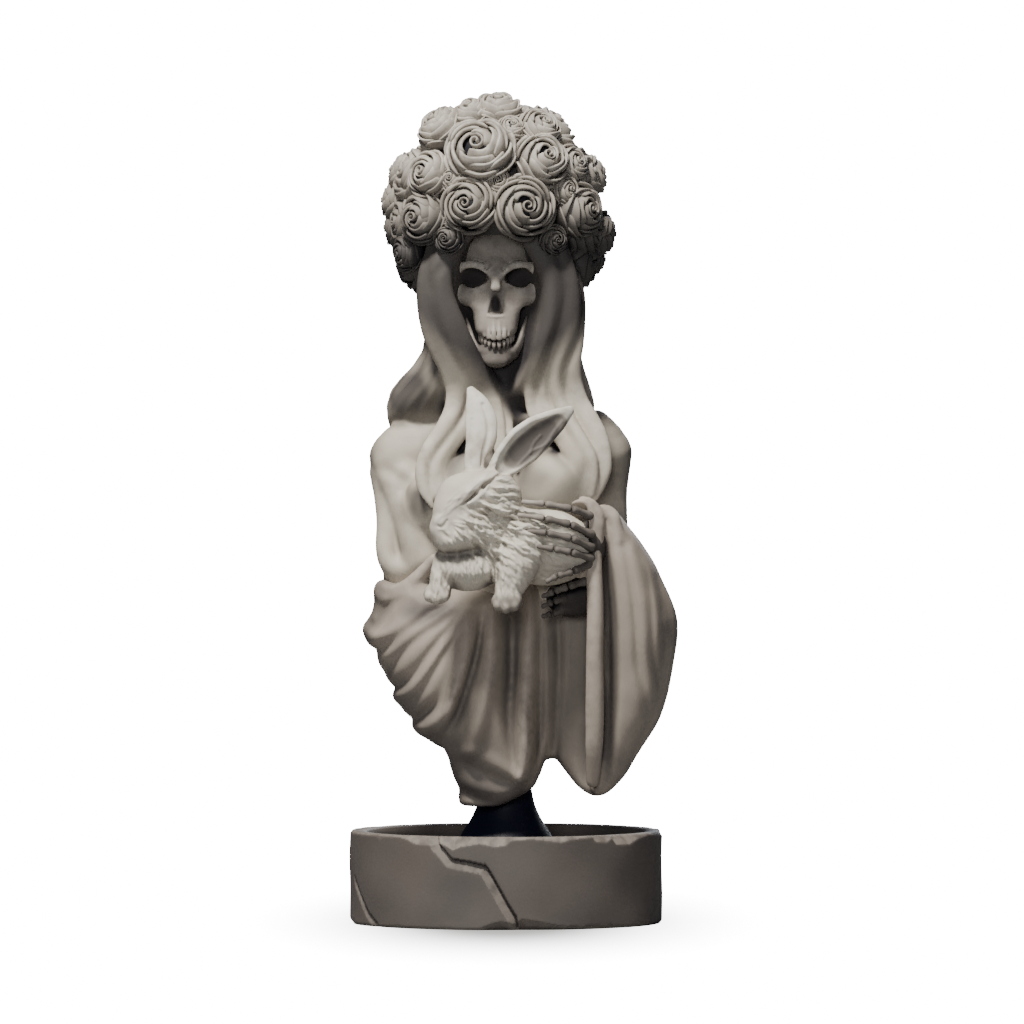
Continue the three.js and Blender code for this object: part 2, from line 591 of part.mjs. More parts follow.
// Tufts of fur stand out on the cheek, the chest and the flank, each from its root to its tip.
const TUFTS = [
  [[-7, -44.4, 121], [1.6, -43.4, 118.4]], [[-9, -45.6, 117.4], [-1, -44.4, 113.6]],
  [[-12, -45.4, 115.6], [-7, -45, 109]], [[-3, -42.8, 125.4], [4.4, -40.4, 123]],
  [[-12, -43.4, 110], [-11, -43, 102.6]], [[-6.4, -43.4, 109.6], [-4.6, -43.4, 102.4]],
  [[-17.6, -42.8, 111.4], [-18.4, -43, 105]], [[-0.6, -42.6, 111.6], [1.4, -42.6, 104.8]],
];

function rabbit() {
  const nearEar = tube({ ...NEAR_EAR, width: [2.4, 4.8, 5.9, 4.3, 0.7], depth: [2, 2.2, 2.1, 1.7, 0.6] });
  const forward = NEAR_EAR.path.map(([x, y, z]) => [x + 0.8, y - 1.9, z]);
  const hollow = tube({
    ...NEAR_EAR, path: forward, width: [1.2, 3.6, 4.7, 3.1, 0.3], depth: [0.8, 1.9, 2, 1.6, 0.3],
  });
  return join([
    tube({ path: [[3, -32, 125.4], [-5.4, -36.6, 126.6], [-12, -40.6, 124], [-19.6, -44.4, 120.6]],
      width: [9, 12.4, 9.4, 4], depth: [7, 8.4, 7.2, 4], sides: 8, steps: 4 }),
    tube({ path: [[-8, -36.5, 133], [-8.2, -36, 139]], width: [4.2, 2.4], depth: [4, 2], steps: 1 }),
    tube({ path: [[-3.4, -36.5, 133], [-0.4, -35.6, 139.6]], width: [4, 2.4], depth: [4, 2], steps: 1 }),
    tube({ path: [[-5, -41.4, 133.4], [-12, -44.8, 129.4], [-20, -46.4, 122.6]],
      width: [3, 2.8, 1.9], steps: 2 }),
    tube({ path: [[-14, -45, 127.6], [-9.4, -46, 131], [-3.6, -43.6, 134]],
      width: [0.9, 1.3, 0.9], sides: 4, steps: 2 }),
    blob([-7.6, -34.6, 107.6], [13, 8.6, 9], 0, 9, 6),
    blob([9.6, -31, 110.6], [15.4, 9.6, 11.6], 0, 9, 6),
    tube({ path: [[7.4, -38, 115], [5.8, -40.4, 107], [1.6, -42.4, 101.4]],
      width: [6.2, 6, 4.4], sides: 6, steps: 3 }),
    blob([0.4, -43.4, 99], [4.9, 4.8, 3.6]),
    tube({ path: [[-14, -37, 110], [-18.4, -39.5, 104]], width: [4.6, 3.8], steps: 2 }),
    blob([-20.4, -41, 101.2], [4.3, 4.4, 3.2]),
    ...TUFTS.map((path) => tube({ path, width: [2, 0.5], depth: [1.6, 0.4], sides: 4, steps: 1 })),
    nearEar.subtract(hollow), tube(FAR_EAR),
  ]);
}

// Hands: bone after bone, thick at each joint

const BONE_SIZES = [1.9, 1.5, 2, 1.4, 1.8, 1.3, 0.8];
const FINGERS = [
  [[24.6, -34.5, 122], [19.2, -40.4, 124.6], [12.3, -41.6, 126.1], [5.4, -42.2, 127.6]],
  [[26, -37.5, 119.2], [19.2, -41.6, 121], [12, -43, 122.9], [3.9, -43.4, 124.9]],
  [[26, -37.5, 115.4], [19.5, -41.6, 117.1], [12.3, -43, 119], [6.6, -43.2, 120.5]],
  [[26, -36.5, 111.6], [19.8, -40.6, 112.9], [14.1, -42, 114.4], [7.8, -43.2, 115.3]],
  [[26, -33.5, 109.2], [21, -37.6, 107.7], [15.9, -39.6, 105.9], [11.4, -39.4, 103.4]],
  [[24.9, -29, 103], [19.8, -33, 102.4], [15, -35, 101], [10.5, -35.6, 99.4]],
  [[24.6, -27, 99.6], [19.8, -31, 98.3], [15, -33, 97.3], [10.8, -33.6, 96.6]],
  [[24.3, -25, 96.4], [19.8, -28, 95.2], [15.3, -30, 94.4], [11.4, -30.6, 94.4]],
];

function hands() {
  return join([
    ...FINGERS.map((path) => tube({ path, width: BONE_SIZES, sides: 4, steps: 6 })),
    blob([25, -31, 116], [5, 6.4, 8]),
    blob([20, -24, 98.6], [8, 6.5, 6]),
  ]);
}

function bust() {
  const hair = loft(HAIR_ROWS, 16, HAIR_FULLNESS).subtract(tube(HAIR_NICHE));
  const locks = [...FRONT_LOCKS.map((lock) => tube({ steps: 5, ...lock })), ...backLocks()];
  const whole = join([hair, ...locks, skull(), crown(), body(), shawl(), rabbit(), hands()]);
  return largest(meltShortEdges(whole, SLIVER).subtract(postSolid(POST.gap)));
}

// Assembly

const stone = new THREE.MeshStandardMaterial({ color: 0x8b857b, roughness: 0.8, metalness: 0 });
const trayStone = new THREE.MeshStandardMaterial({ color: 0x6e6962, roughness: 0.85, metalness: 0 });
const black = new THREE.MeshStandardMaterial({ color: 0x0c0d12, roughness: 0.6, metalness: 0 });

const part = new THREE.Group();
part.add(meshOf(trayShell().subtract(join(CRACKS.map(trayCrack))), 'base_tray', trayStone));
part.add(meshOf(postSolid(), 'support_post', black));
part.add(meshOf(bust(), 'bust', stone));

export default part;
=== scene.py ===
"""Skull bust: a long-haired skull under a crown of roses, in a folded shawl, holding a rabbit.

The bust stands on a dark flared post in a round tray of stone look, with a chipped rim and a cracked wall.
Shapes are worked out in millimetres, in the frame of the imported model, and put into metres as each mesh
is made.
"""

import logging
import math
from dataclasses import dataclass, field
from enum import Enum
from itertools import product

import bpy
import numpy as np
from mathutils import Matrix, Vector

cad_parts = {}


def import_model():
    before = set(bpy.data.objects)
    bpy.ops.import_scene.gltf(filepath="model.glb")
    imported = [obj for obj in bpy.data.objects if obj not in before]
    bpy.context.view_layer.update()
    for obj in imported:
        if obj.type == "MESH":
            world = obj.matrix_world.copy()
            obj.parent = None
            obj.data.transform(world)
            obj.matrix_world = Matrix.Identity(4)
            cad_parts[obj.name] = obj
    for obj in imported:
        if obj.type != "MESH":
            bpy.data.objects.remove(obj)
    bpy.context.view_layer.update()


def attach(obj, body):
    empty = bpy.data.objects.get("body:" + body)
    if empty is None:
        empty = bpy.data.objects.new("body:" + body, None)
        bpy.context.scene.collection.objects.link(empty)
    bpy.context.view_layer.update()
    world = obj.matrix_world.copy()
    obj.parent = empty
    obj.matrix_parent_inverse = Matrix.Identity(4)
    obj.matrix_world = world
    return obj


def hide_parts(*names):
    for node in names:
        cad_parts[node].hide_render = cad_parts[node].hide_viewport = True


LOG = logging.getLogger("bust")
MM = 0.001
FAR = 1e3
SQUARE = 0.3
MIDDLE = 506
GROUND = 923
TILT = 0.045
Array = np.ndarray
Point = tuple[float, float, float]
Piece = bpy.types.Object
Socket = bpy.types.NodeSocket
FRONT: Point = (0.0, -1.0, 0.0)
BACK: Point = (0.0, 1.0, 0.0)


class Slot(Enum):
    """The record's material slots."""

    BUST = "bust_resin"
    TRAY = "tray_resin"
    POST = "post_resin"


# The front drawing and curves


def drawn(column: float, row: float, y: float) -> Point:
    """The place of a point of the front drawing, with y given.

    SQUARE is the size of the drawing's squares, MIDDLE the column in the middle and GROUND the row of the
    ground. The drawing looks a little down: a place lies lower in it by TILT of how far forward it is.
    """
    return (column - MIDDLE) * SQUARE, y, (GROUND - row) * SQUARE - TILT * y


def through(rows: list) -> list[Point]:
    """The places of several points of the front drawing, each a column, a row and y."""
    return [drawn(*row) for row in rows]


def curve(knots: list, count: int) -> Array:
    """A smooth line through its knots, by Catmull and Rom's cubic.

    Args:
        knots: the points, or plain numbers, that it passes.
        count: how many evenly spaced places to work out.

    Returns:
        The places, one row each.
    """
    given = np.asarray(knots, float)
    ends = 2 * given[:1] - given[1:2], 2 * given[-1:] - given[-2:-1]
    padded = np.concatenate([ends[0], given, ends[1]])
    place = np.linspace(0, len(given) - 1, count)
    first = np.minimum(place.astype(int), len(given) - 2)
    t = (place - first).reshape(-1, *[1] * (given.ndim - 1))
    a, b, c, d = (padded[first + k] for k in range(4))
    return 0.5 * (2 * b + (c - a) * t + (2 * a - 5 * b + 4 * c - d) * t**2 + (3 * b - a - 3 * c + d) * t**3)


def spread(values: float | list, count: int) -> Array:
    """One number for each of count places: a single value repeated, or a list drawn out evenly."""
    given = np.atleast_1d(np.asarray(values, float))
    return np.interp(np.linspace(0, 1, count), np.linspace(0, 1, len(given)), given)


def unit(vectors: Array) -> Array:
    """The same directions at length one."""
    return vectors / np.maximum(np.linalg.norm(vectors, axis=-1, keepdims=True), 1e-9)


def frames(points: Array, facing: Point | list) -> tuple[Array, Array, Array]:
    """The directions along, across and out of a line whose broad side is turned to facing.

    Args:
        points: places along the line.
        facing: one direction, or a list drawn out along the line.

    Returns:
        Three arrays of unit vectors: along, across and out.
    """
    tangent = unit(np.gradient(points, axis=0))
    given = np.asarray(facing, float)
    if given.ndim == 1:
        given = given[None]
    towards = np.stack([spread(given[:, k], len(points)) for k in range(3)], axis=1)
    across = unit(np.cross(tangent, towards))
    return tangent, across, np.cross(across, tangent)


def table(*rows: tuple | list) -> list:
    """A field of a dataclass that holds a list of rows."""
    return field(default_factory=lambda: list(rows))


# Surfaces


@dataclass
class Skin:
    """Points in millimetres, the quads and triangles that join them, and how hollow it is at each point.

    Relief is 1 deep in a hollow, nothing on the flat and -1 on a sharp crest. It sets the painted shade in
    hollows and the painted highlight on crests, and some parts add more painted shade into it.
    """

    points: Array
    quads: Array
    triangles: Array = field(default_factory=lambda: np.zeros((0, 3), int))
    relief: Array | None = None

    def outward(self) -> "Skin":
        """The same closed surface with its faces turned outwards, by the sign of the volume inside."""
        faces = np.concatenate([self.quads[:, :3], self.quads[:, [0, 2, 3]], self.triangles])
        a, b, c = (self.points[faces[:, k]] for k in range(3))
        if np.einsum("ij,ij->i", a, np.cross(b, c)).sum() < 0:
            return Skin(self.points, self.quads[:, ::-1], self.triangles[:, ::-1], self.relief)
        return self


def merge(skins: list[Skin]) -> Skin:
    """Several skins as one."""
    starts = np.cumsum([0] + [len(skin.points) for skin in skins[:-1]])
    return Skin(
        np.concatenate([skin.points for skin in skins]),
        np.concatenate([skin.quads + start for skin, start in zip(skins, starts)]),
        np.concatenate([skin.triangles + start for skin, start in zip(skins, starts)]),
        np.concatenate([np.zeros(len(skin.points)) if skin.relief is None else skin.relief
                        for skin in skins]),
    )


def rings_to_skin(rings: Array, first: Array, last: Array, relief: Array | None = None) -> Skin:
    """A closed skin over rings of points, drawn together at a pole at each end.

    Args:
        rings: the points, as ring by place by coordinate.
        first: the pole before the first ring.
        last: the pole after the last ring.
        relief: how hollow each place of each ring is.
    """
    count, sides = rings.shape[:2]
    index = np.arange(count * sides).reshape(count, sides)
    onward = np.roll(index, -1, axis=1)
    quads = np.stack([index[:-1], index[1:], onward[1:], onward[:-1]], axis=-1).reshape(-1, 4)
    poles = np.full(sides, count * sides), np.full(sides, count * sides + 1)
    fans = [
        np.stack([poles[0], index[0], onward[0]], axis=-1),
        np.stack([poles[1], onward[-1], index[-1]], axis=-1),
    ]
    points = np.concatenate([rings.reshape(-1, 3), first[None], last[None]])
    hollow = None
    if relief is not None:
        hollow = np.concatenate([relief.ravel(), [relief[0].mean(), relief[-1].mean()]])
    return Skin(points, quads, np.concatenate(fans), hollow).outward()


# Clay: forms joined and cut as signed distances on a grid


@dataclass
class Ball:
    """An ellipsoid, turned about X, Y and Z in degrees."""

    centre: Point
    radii: Point
    turn: Point = (0.0, 0.0, 0.0)

    def box(self) -> tuple[Array, Array]:
        """The corners of a box that holds it."""
        reach = max(self.radii) if any(self.turn) else np.array(self.radii)
        return np.array(self.centre) - reach, np.array(self.centre) + reach

    def distance(self, x: Array, y: Array, z: Array) -> Array:
        """Near enough the distance to its surface: k (k - 1) over the length of k's own gradient."""
        a, b, c = np.radians(self.turn)
        about_x = np.array([[1, 0, 0], [0, math.cos(a), -math.sin(a)], [0, math.sin(a), math.cos(a)]])
        about_y = np.array([[math.cos(b), 0, math.sin(b)], [0, 1, 0], [-math.sin(b), 0, math.cos(b)]])
        about_z = np.array([[math.cos(c), -math.sin(c), 0], [math.sin(c), math.cos(c), 0], [0, 0, 1]])
        axes = (about_z @ about_y @ about_x).T
        rel = [x - self.centre[0], y - self.centre[1], z - self.centre[2]]
        own = [sum(axes[i, k] * rel[k] for k in range(3)) / self.radii[i] for i in range(3)]
        k = np.sqrt(own[0] ** 2 + own[1] ** 2 + own[2] ** 2)
        slope = np.sqrt(sum((own[i] / self.radii[i]) ** 2 for i in range(3)))
        return k * (k - 1) / np.maximum(slope, 1e-6)


@dataclass
class Strand:
    """A body of elliptical section along a curve: width is the half-size across, depth the half-size out.

    Its ends are round at tip 1 and flatter where tip is less.
    """

    path: list
    width: float | list
    depth: float | list | None = None
    facing: Point | list = FRONT
    steps: int = 12
    tip: float = 1.0

    def __post_init__(self) -> None:
        """Works out its places, its directions and its half-sizes."""
        self.points = curve(self.path, self.steps + 1)
        _, self.across, self.out = frames(self.points, self.facing)
        self.wide = spread(self.width, self.steps + 1)
        self.deep = self.wide if self.depth is None else spread(self.depth, self.steps + 1)

    def box(self) -> tuple[Array, Array]:
        """The corners of a box that holds it."""
        reach = np.maximum(self.wide, self.deep)[:, None]
        return (self.points - reach).min(axis=0), (self.points + reach).max(axis=0)

    def distance(self, x: Array, y: Array, z: Array) -> Array:
        """The least of the distances to its legs, each an ellipsoid drawn out from one place to the next."""
        result = np.full(np.broadcast_shapes(x.shape, y.shape, z.shape), FAR, np.float32)
        for k in range(self.steps):
            a, b = self.points[k], self.points[k + 1]
            reach = max(self.wide[k : k + 2].max(), self.deep[k : k + 2].max()) + 4
            low, high = np.minimum(a, b) - reach, np.maximum(a, b) + reach
            part = tuple(
                slice(*np.searchsorted(axis.ravel(), ends)) for axis, ends in zip((x, y, z), zip(low, high))
            )
            rel = x[part[0]] - a[0], y[:, part[1]] - a[1], z[:, :, part[2]] - a[2]
            leg = b - a
            length = float(np.linalg.norm(leg))
            along = (rel[0] * leg[0] + rel[1] * leg[1] + rel[2] * leg[2]) / length**2
            t = np.clip(along, 0, 1)

            def offset(start: Array, end: Array) -> Array:
                """How far out the points are, by a direction that turns from start to end along the leg."""
                near = rel[0] * start[0] + rel[1] * start[1] + rel[2] * start[2]
                far = (rel[0] - leg[0]) * end[0] + (rel[1] - leg[1]) * end[1] + (rel[2] - leg[2]) * end[2]
                return near + (far - near) * t

            wide = self.wide[k] + (self.wide[k + 1] - self.wide[k]) * t
            deep = self.deep[k] + (self.deep[k + 1] - self.deep[k]) * t
            cap = self.tip * np.minimum(wide, deep)
            u = offset(self.across[k], self.across[k + 1]) / wide
            v = offset(self.out[k], self.out[k + 1]) / deep
            w = (along - t) * length / cap
            size = np.sqrt(u**2 + v**2 + w**2)
            slope = np.sqrt((u / wide) ** 2 + (v / deep) ** 2 + (w / cap) ** 2)
            found = size * (size - 1) / np.maximum(slope, 1e-6)
            result[part] = np.minimum(result[part], found)
        return result


@dataclass
class Column:
    """A body through level sections, from the highest to the lowest.

    A row is height, left, right, front and back. A section is a rounded box |u|^n + |v|^n = 1, and its rim
    may swing in and out count times round, by a depth in millimetres, swaying to and fro down the body.
    """

    rows: list
    fullness: float = 2.3
    ripples: list = field(default_factory=list)
    blur: float = 3.0

    def __post_init__(self) -> None:
        """Draws the rows out to even steps, and evens them out with a bell curve."""
        levels = np.array(sorted(self.rows), float)
        step, beyond = 0.5, 12
        self.heights = np.arange(levels[0, 0] - beyond, levels[-1, 0] + beyond, step)
        reach = int(3 * self.blur / step)
        bell = np.exp(-0.5 * (np.arange(-reach, reach + 1) * step / self.blur) ** 2)
        bell /= bell.sum()
        sides = [np.interp(self.heights, levels[:, 0], levels[:, k]) for k in range(1, 5)]
        self.sides = [np.convolve(np.pad(side, reach, "edge"), bell, "valid") for side in sides]
        self.ends = levels[0, 0], levels[-1, 0]

    def box(self) -> tuple[Array, Array]:
        """The corners of a box that holds it."""
        left, right, front, back = self.sides
        return (
            np.array([left.min(), front.min(), self.ends[0]]),
            np.array([right.max(), back.max(), self.ends[1]]),
        )

    def place(self, degrees: float, height: float, out: float = 0.0) -> Array:
        """A point on its rim at a turn and a height, moved out by some millimetres."""
        left, right, front, back = (np.interp(height, self.heights, side) for side in self.sides)
        turn = math.radians(degrees)
        c, s = math.cos(turn), math.sin(turn)
        size = (abs(c) ** self.fullness + abs(s) ** self.fullness) ** (-1 / self.fullness)
        x = (left + right) / 2 + ((right - left) / 2 + out) * size * c
        y = (front + back) / 2 + ((back - front) / 2 + out) * size * s
        return np.array([x, y, height])

    def distance(self, x: Array, y: Array, z: Array) -> Array:
        """The section's k less 1 over its slope, joined to the flat ends with a soft edge."""
        left, right, front, back = (np.interp(z.ravel(), self.heights, side) for side in self.sides)
        n = self.fullness
        half = ((right - left) / 2)[None, None], ((back - front) / 2)[None, None]
        u = (x - ((left + right) / 2)[None, None]) / half[0]
        v = (y - ((front + back) / 2)[None, None]) / half[1]
        u_size, v_size = np.abs(u), np.abs(v)
        k = (u_size**n + v_size**n) ** (1 / n)
        k = np.maximum(k, 1e-4)
        slope = np.sqrt((u_size ** (n - 1) / half[0]) ** 2
                        + (v_size ** (n - 1) / half[1]) ** 2) * k ** (1 - n)
        side = (k - 1) / np.maximum(slope, 1e-4)
        angle = np.arctan2(v, u)
        for count, depth, sway, wave, phase in self.ripples:
            side = side - depth * np.cos(count * angle + sway * np.sin(z / wave) + phase)
        cap = np.maximum(self.ends[0] - z, z - self.ends[1])
        edge = 6
        blend = np.clip(0.5 + (side - cap) / edge, 0, 1)
        return cap + (side - cap) * blend + edge / 2 * blend * (1 - blend)


@dataclass
class Fold:
    """A line of the front drawing along which a surface rises, or sinks where the rise is less than nothing.

    Reach is how far it goes to either side, in millimetres. Its section is (1 - (distance / reach)^sharp)^2:
    a soft wave at 2 and a crease at 1.
    """

    line: list
    rise: float | list
    reach: float | list
    sharp: float = 2.0

    def window(self, x: Array, z: Array) -> tuple[slice, slice]:
        """The part of a level and an upright axis that it may touch."""
        low, high = np.min(self.line, axis=0), np.max(self.line, axis=0)
        most = np.max(self.reach) + 1
        along = np.searchsorted(x, ((low[0] - MIDDLE) * SQUARE - most, (high[0] - MIDDLE) * SQUARE + most))
        up = np.searchsorted(z, ((GROUND - high[1]) * SQUARE - most, (GROUND - low[1]) * SQUARE + most + 2))
        return slice(*along), slice(*up)

    def lift(self, column: Array, row: Array) -> Array:
        """How far it moves the surface at places of the drawing, by the nearest of its legs."""
        steps = 3 * len(self.line)
        points = curve(self.line, steps + 1)
        rise, reach = spread(self.rise, steps + 1), spread(self.reach, steps + 1)
        nearest, found = np.full(column.shape, FAR), np.zeros(column.shape)
        for k in range(steps):
            leg = points[k + 1] - points[k]
            u, v = column - points[k, 0], row - points[k, 1]
            t = np.clip((u * leg[0] + v * leg[1]) / (leg @ leg), 0, 1)
            away = SQUARE * np.hypot(u - t * leg[0], v - t * leg[1])
            far = np.clip(away / (reach[k] + (reach[k + 1] - reach[k]) * t), 0, 1)
            new = (rise[k] + (rise[k + 1] - rise[k]) * t) * (1 - far**self.sharp) ** 2
            found = np.where(away < nearest, new, found)
            nearest = np.minimum(nearest, away)
        return found


CORNERS = list(product((0, 1), repeat=3))
EDGES = [(a, b) for a in CORNERS for b in CORNERS if sum(b) == sum(a) + 1
         and all(p <= q for p, q in zip(a, b))]


class Clay:
    """A block of clay: signed distances on a grid, less than nothing inside.

    Forms are joined to it and cut from it.
    """

    def __init__(self, low: Point, high: Point, cell: float, strength: float = 1.0) -> None:
        """Sets out the grid.

        Args:
            low: the lowest corner, in millimetres.
            high: the highest corner.
            cell: the step between places.
            strength: how strongly hollows and crests are told apart, and so how strong their painted shade
                and highlight are.
        """
        self.cell = cell
        self.strength = strength
        self.axes = [np.arange(a, b + cell, cell, dtype=np.float32) for a, b in zip(low, high)]
        self.depth = np.full([len(axis) for axis in self.axes], FAR, np.float32)
        # Balls of painted shade, each with its amount and softness.
        self.painted_shades: list[tuple[Ball, float, float]] = []

    def window(self, form: Ball | Strand | Column, margin: float) -> tuple[tuple, tuple]:
        """The part of the grid near a form, and its places as three open arrays."""
        low, high = form.box()
        part = tuple(
            slice(*np.searchsorted(axis, (a - margin, b + margin)))
            for axis, a, b in zip(self.axes, low, high)
        )
        x, y, z = (axis[span] for axis, span in zip(self.axes, part))
        return part, (x[:, None, None], y[None, :, None], z[None, None, :])

    def add(self, form: Ball | Strand | Column, soft: float = 1.0) -> None:
        """Joins a form, with a fillet about soft millimetres wide."""
        part, places = self.window(form, soft + 3)
        old, new = self.depth[part], form.distance(*places)
        share = np.clip(0.5 + 0.5 * (old - new) / soft, 0, 1)
        self.depth[part] = old + (new - old) * share - soft * share * (1 - share)

    def lumps(self, rows: list | tuple) -> None:
        """Joins balls at drawn places: column, row, y, radii, soft, and the turn of one that is turned."""
        for column, row, y, radii, soft, *turn in rows:
            self.add(Ball(drawn(column, row, y), radii, *turn), soft)

    def cut(self, form: Ball | Strand | Column, soft: float = 0.5) -> None:
        """Takes a form away, with an edge rounded over about soft millimetres."""
        part, places = self.window(form, soft + 3)
        old, new = self.depth[part], form.distance(*places)
        share = np.clip(0.5 - 0.5 * (old + new) / soft, 0, 1)
        self.depth[part] = old + (-new - old) * share + soft * share * (1 - share)

    @staticmethod
    def facing(depth: Array, index: Array) -> Array:
        """Which way a surface faces at places of the grid, from the distances two places to either side."""
        slopes = []
        for step in 2 * np.eye(3, dtype=int):
            slopes.append(depth[tuple((index + step).T)] - depth[tuple((index - step).T)])
        return unit(np.stack(slopes, axis=1))

    def touch(self, drawing: Array) -> tuple[Array, Array, Array]:
        """Where points of the front drawing, columns and rows, meet the clay.

        Returns:
            The places, which way the clay faces there, and by how much the line of sight misses the clay,
            less than nothing where it meets it. A line that misses gets the place where it passes nearest.
        """
        corner = np.array([axis[0] for axis in self.axes])
        most = np.array(self.depth.shape) - 1
        column, row = drawing.T
        guess = -25.0
        places = np.stack([(column - MIDDLE) * SQUARE, np.full(len(column), guess), row], axis=1)
        each = np.arange(len(column))
        for _ in range(3):
            places[:, 2] = (GROUND - row) * SQUARE - TILT * places[:, 1]
            index = np.clip(np.rint((places - corner) / self.cell), 0, most).astype(int)
            lines = self.depth[index[:, 0], :, index[:, 2]]
            first = np.where((lines < 0).any(axis=1), (lines < 0).argmax(axis=1), lines.argmin(axis=1))
            near, far = lines[each, np.maximum(first - 1, 0)], lines[each, first]
            share = np.where(far < 0, near / np.where(near == far, 1, near - far), 1)
            places[:, 1] = corner[1] + self.cell * (first - 1 + share)
        index = np.clip(np.rint((places - corner) / self.cell), 2, most - 2).astype(int)
        return places, self.facing(self.depth, index), far

    def trace(self, drawing: list) -> tuple[Array, Array]:
        """A drawn line laid on the clay: its places and which way the clay faces there, evened out."""
        places, facing, _ = self.touch(curve(drawing, 25))
        for _ in range(3):
            for line in (places, facing):
                line[1:-1] = 0.5 * line[1:-1] + 0.25 * (line[:-2] + line[2:])
        return places, unit(facing)

    def ridge(self, drawing: list, width: float | list, rise: float | list, soft: float) -> None:
        """Lays a round ridge of half-size width along a drawn line, its crest risen above the clay."""
        places, facing = self.trace(drawing)
        deep = 0.8 * spread(width, len(places))
        path = places + (spread(rise, len(places)) - deep)[:, None] * facing
        self.add(Strand(path, width, list(deep), facing, len(places) - 1), soft)

    def valley(self, drawing: list, width: float | list, sink: float | list, soft: float) -> None:
        """Presses a round valley of half-size width along a drawn line, its floor sunk below the clay."""
        places, facing = self.trace(drawing)
        deep = 0.8 * spread(width, len(places))
        path = places + (deep - spread(sink, len(places)))[:, None] * facing
        self.cut(Strand(path, width, list(deep), facing, len(places) - 1), soft)

    def fold(self, folds: list, back: float = 5.0, even: int = 2) -> None:
        """Moves the front of the clay out and in along drawn lines.

        Args:
            folds: the lines, each with its rise and reach.
            back: how far behind the front the moves begin to fade. They end at twice that.
            even: how often the moves are first evened out over neighbours.
        """
        inside = self.depth < 0
        first = np.where(inside.any(axis=1), inside.argmax(axis=1), self.depth.argmin(axis=1))
        front = self.axes[1][first]
        column = MIDDLE + self.axes[0][:, None] / SQUARE + 0 * front
        row = GROUND - (self.axes[2][None] + TILT * front) / SQUARE
        moved = np.zeros(front.shape)
        for fold in folds:
            part = fold.window(self.axes[0], self.axes[2])
            moved[part] += fold.lift(column[part], row[part])
        for axis in (0, 1) * even:
            moved = 0.5 * moved + 0.25 * (np.roll(moved, 1, axis) + np.roll(moved, -1, axis))
        behind = np.clip((self.axes[1][None, :, None] - front[:, None]) / back - 1, 0, 1)
        self.depth -= (moved[:, None] * (1 - behind**2 * (3 - 2 * behind))).astype(np.float32)

    def smooth(self) -> None:
        """Evens out the surface: a quarter, a half and a quarter of neighbours, along each axis."""
        near = np.clip(self.depth, -9, 9)
        for axis in range(3):
            before, after = np.roll(near, 1, axis), np.roll(near, -1, axis)
            near = 0.5 * near + 0.25 * (before + after)
        self.depth = near

    def paint_shade_in(self, ball: Ball, amount: float, soft: float) -> None:
        """Paints shade in a ball: takes the clay there some way towards the painted shade that hollows have,
        or towards a painted highlight where the amount is less than nothing.
        """
        self.painted_shades.append((ball, amount, soft))

    def paint_shade(self, rows: list | tuple) -> None:
        """Paints shade at places of the front drawing: column, row, y, the ball's radii, amount and soft."""
        for column, row, y, radii, amount, soft in rows:
            self.paint_shade_in(Ball(drawn(column, row, y), radii), amount, soft)

    def skin(self) -> Skin:
        """The surface where the distance is nothing.

        Each cell that the surface crosses gets one point, the mean of the places where it crosses the
        cell's edges, and each grid edge that it crosses gets a quad of the four cells round it. How hollow
        it is gets evened out over neighbours.
        """
        inside = self.depth < 0
        size = np.array(self.depth.shape) - 1
        count = sum(inside[i : i + size[0], j : j + size[1], k : k + size[2]].astype(np.int8)
                    for i, j, k in CORNERS)
        active = (count > 0) & (count < 8)
        cells = np.argwhere(active)
        index = np.full(active.shape, -1)
        index[active] = np.arange(len(cells))
        total, crossings = np.zeros((len(cells), 3)), np.zeros((len(cells), 1))
        for a, b in EDGES:
            start, end = (self.depth[tuple((cells + corner).T)] for corner in (a, b))
            crossed = ((start < 0) != (end < 0))[:, None]
            share = (start / np.where(start == end, 1, start - end))[:, None]
            total += crossed * (np.array(a) + share * (np.array(b) - np.array(a)))
            crossings += crossed
        low = np.array([axis[0] for axis in self.axes])
        points = low + self.cell * (cells + total / crossings)
        quads = np.concatenate([self.quads_across(axis, inside, index) for axis in range(3)])
        relief, corners = self.relief(points), quads.ravel()
        shared = np.maximum(np.bincount(corners, minlength=len(points)), 1)
        for _ in range(4):
            mean = np.repeat(relief[quads].mean(axis=1), 4)
            relief = np.bincount(corners, mean, len(points)) / shared
        return Skin(points, quads, relief=relief).outward()

    def relief(self, points: Array) -> Array:
        """How hollow the clay is round each point of its surface.

        At a few steps out along the way the clay faces, a flat surface is as far off as the step. What is
        missing there counts as hollow, and what is missing the same step inwards counts as crest.
        """
        near = np.clip(self.depth, -8, 8)
        spots = (points - np.array([axis[0] for axis in self.axes])) / self.cell
        most = np.array(near.shape) - 1
        facing = self.facing(near, np.clip(np.rint(spots), 2, most - 2).astype(int))
        total = np.zeros(len(points))
        for reach, share in ((0.8, 0.3), (1.8, 0.35), (3.5, 0.35), (6.5, 0.35)):
            for way in (1, -1):
                at = np.clip(spots + way * reach / self.cell * facing, 0, most - 1.001)
                low = at.astype(int)
                t = at - low
                found = sum(
                    np.where(corner, t, 1 - t).prod(axis=1) * near[tuple((low + np.array(corner)).T)]
                    for corner in CORNERS
                )
                total += way * share * np.clip(1 - way * found / reach, 0, 1.5)
        total = np.clip(self.strength * total, -1, 1)
        # Painted shade from the balls, laid over the hollows and crests.
        for ball, amount, soft in self.painted_shades:
            total += amount * (1 - total) * np.clip(0.5 - ball.distance(*points.T) / soft, 0, 1)
        return np.clip(total, -1, 1)

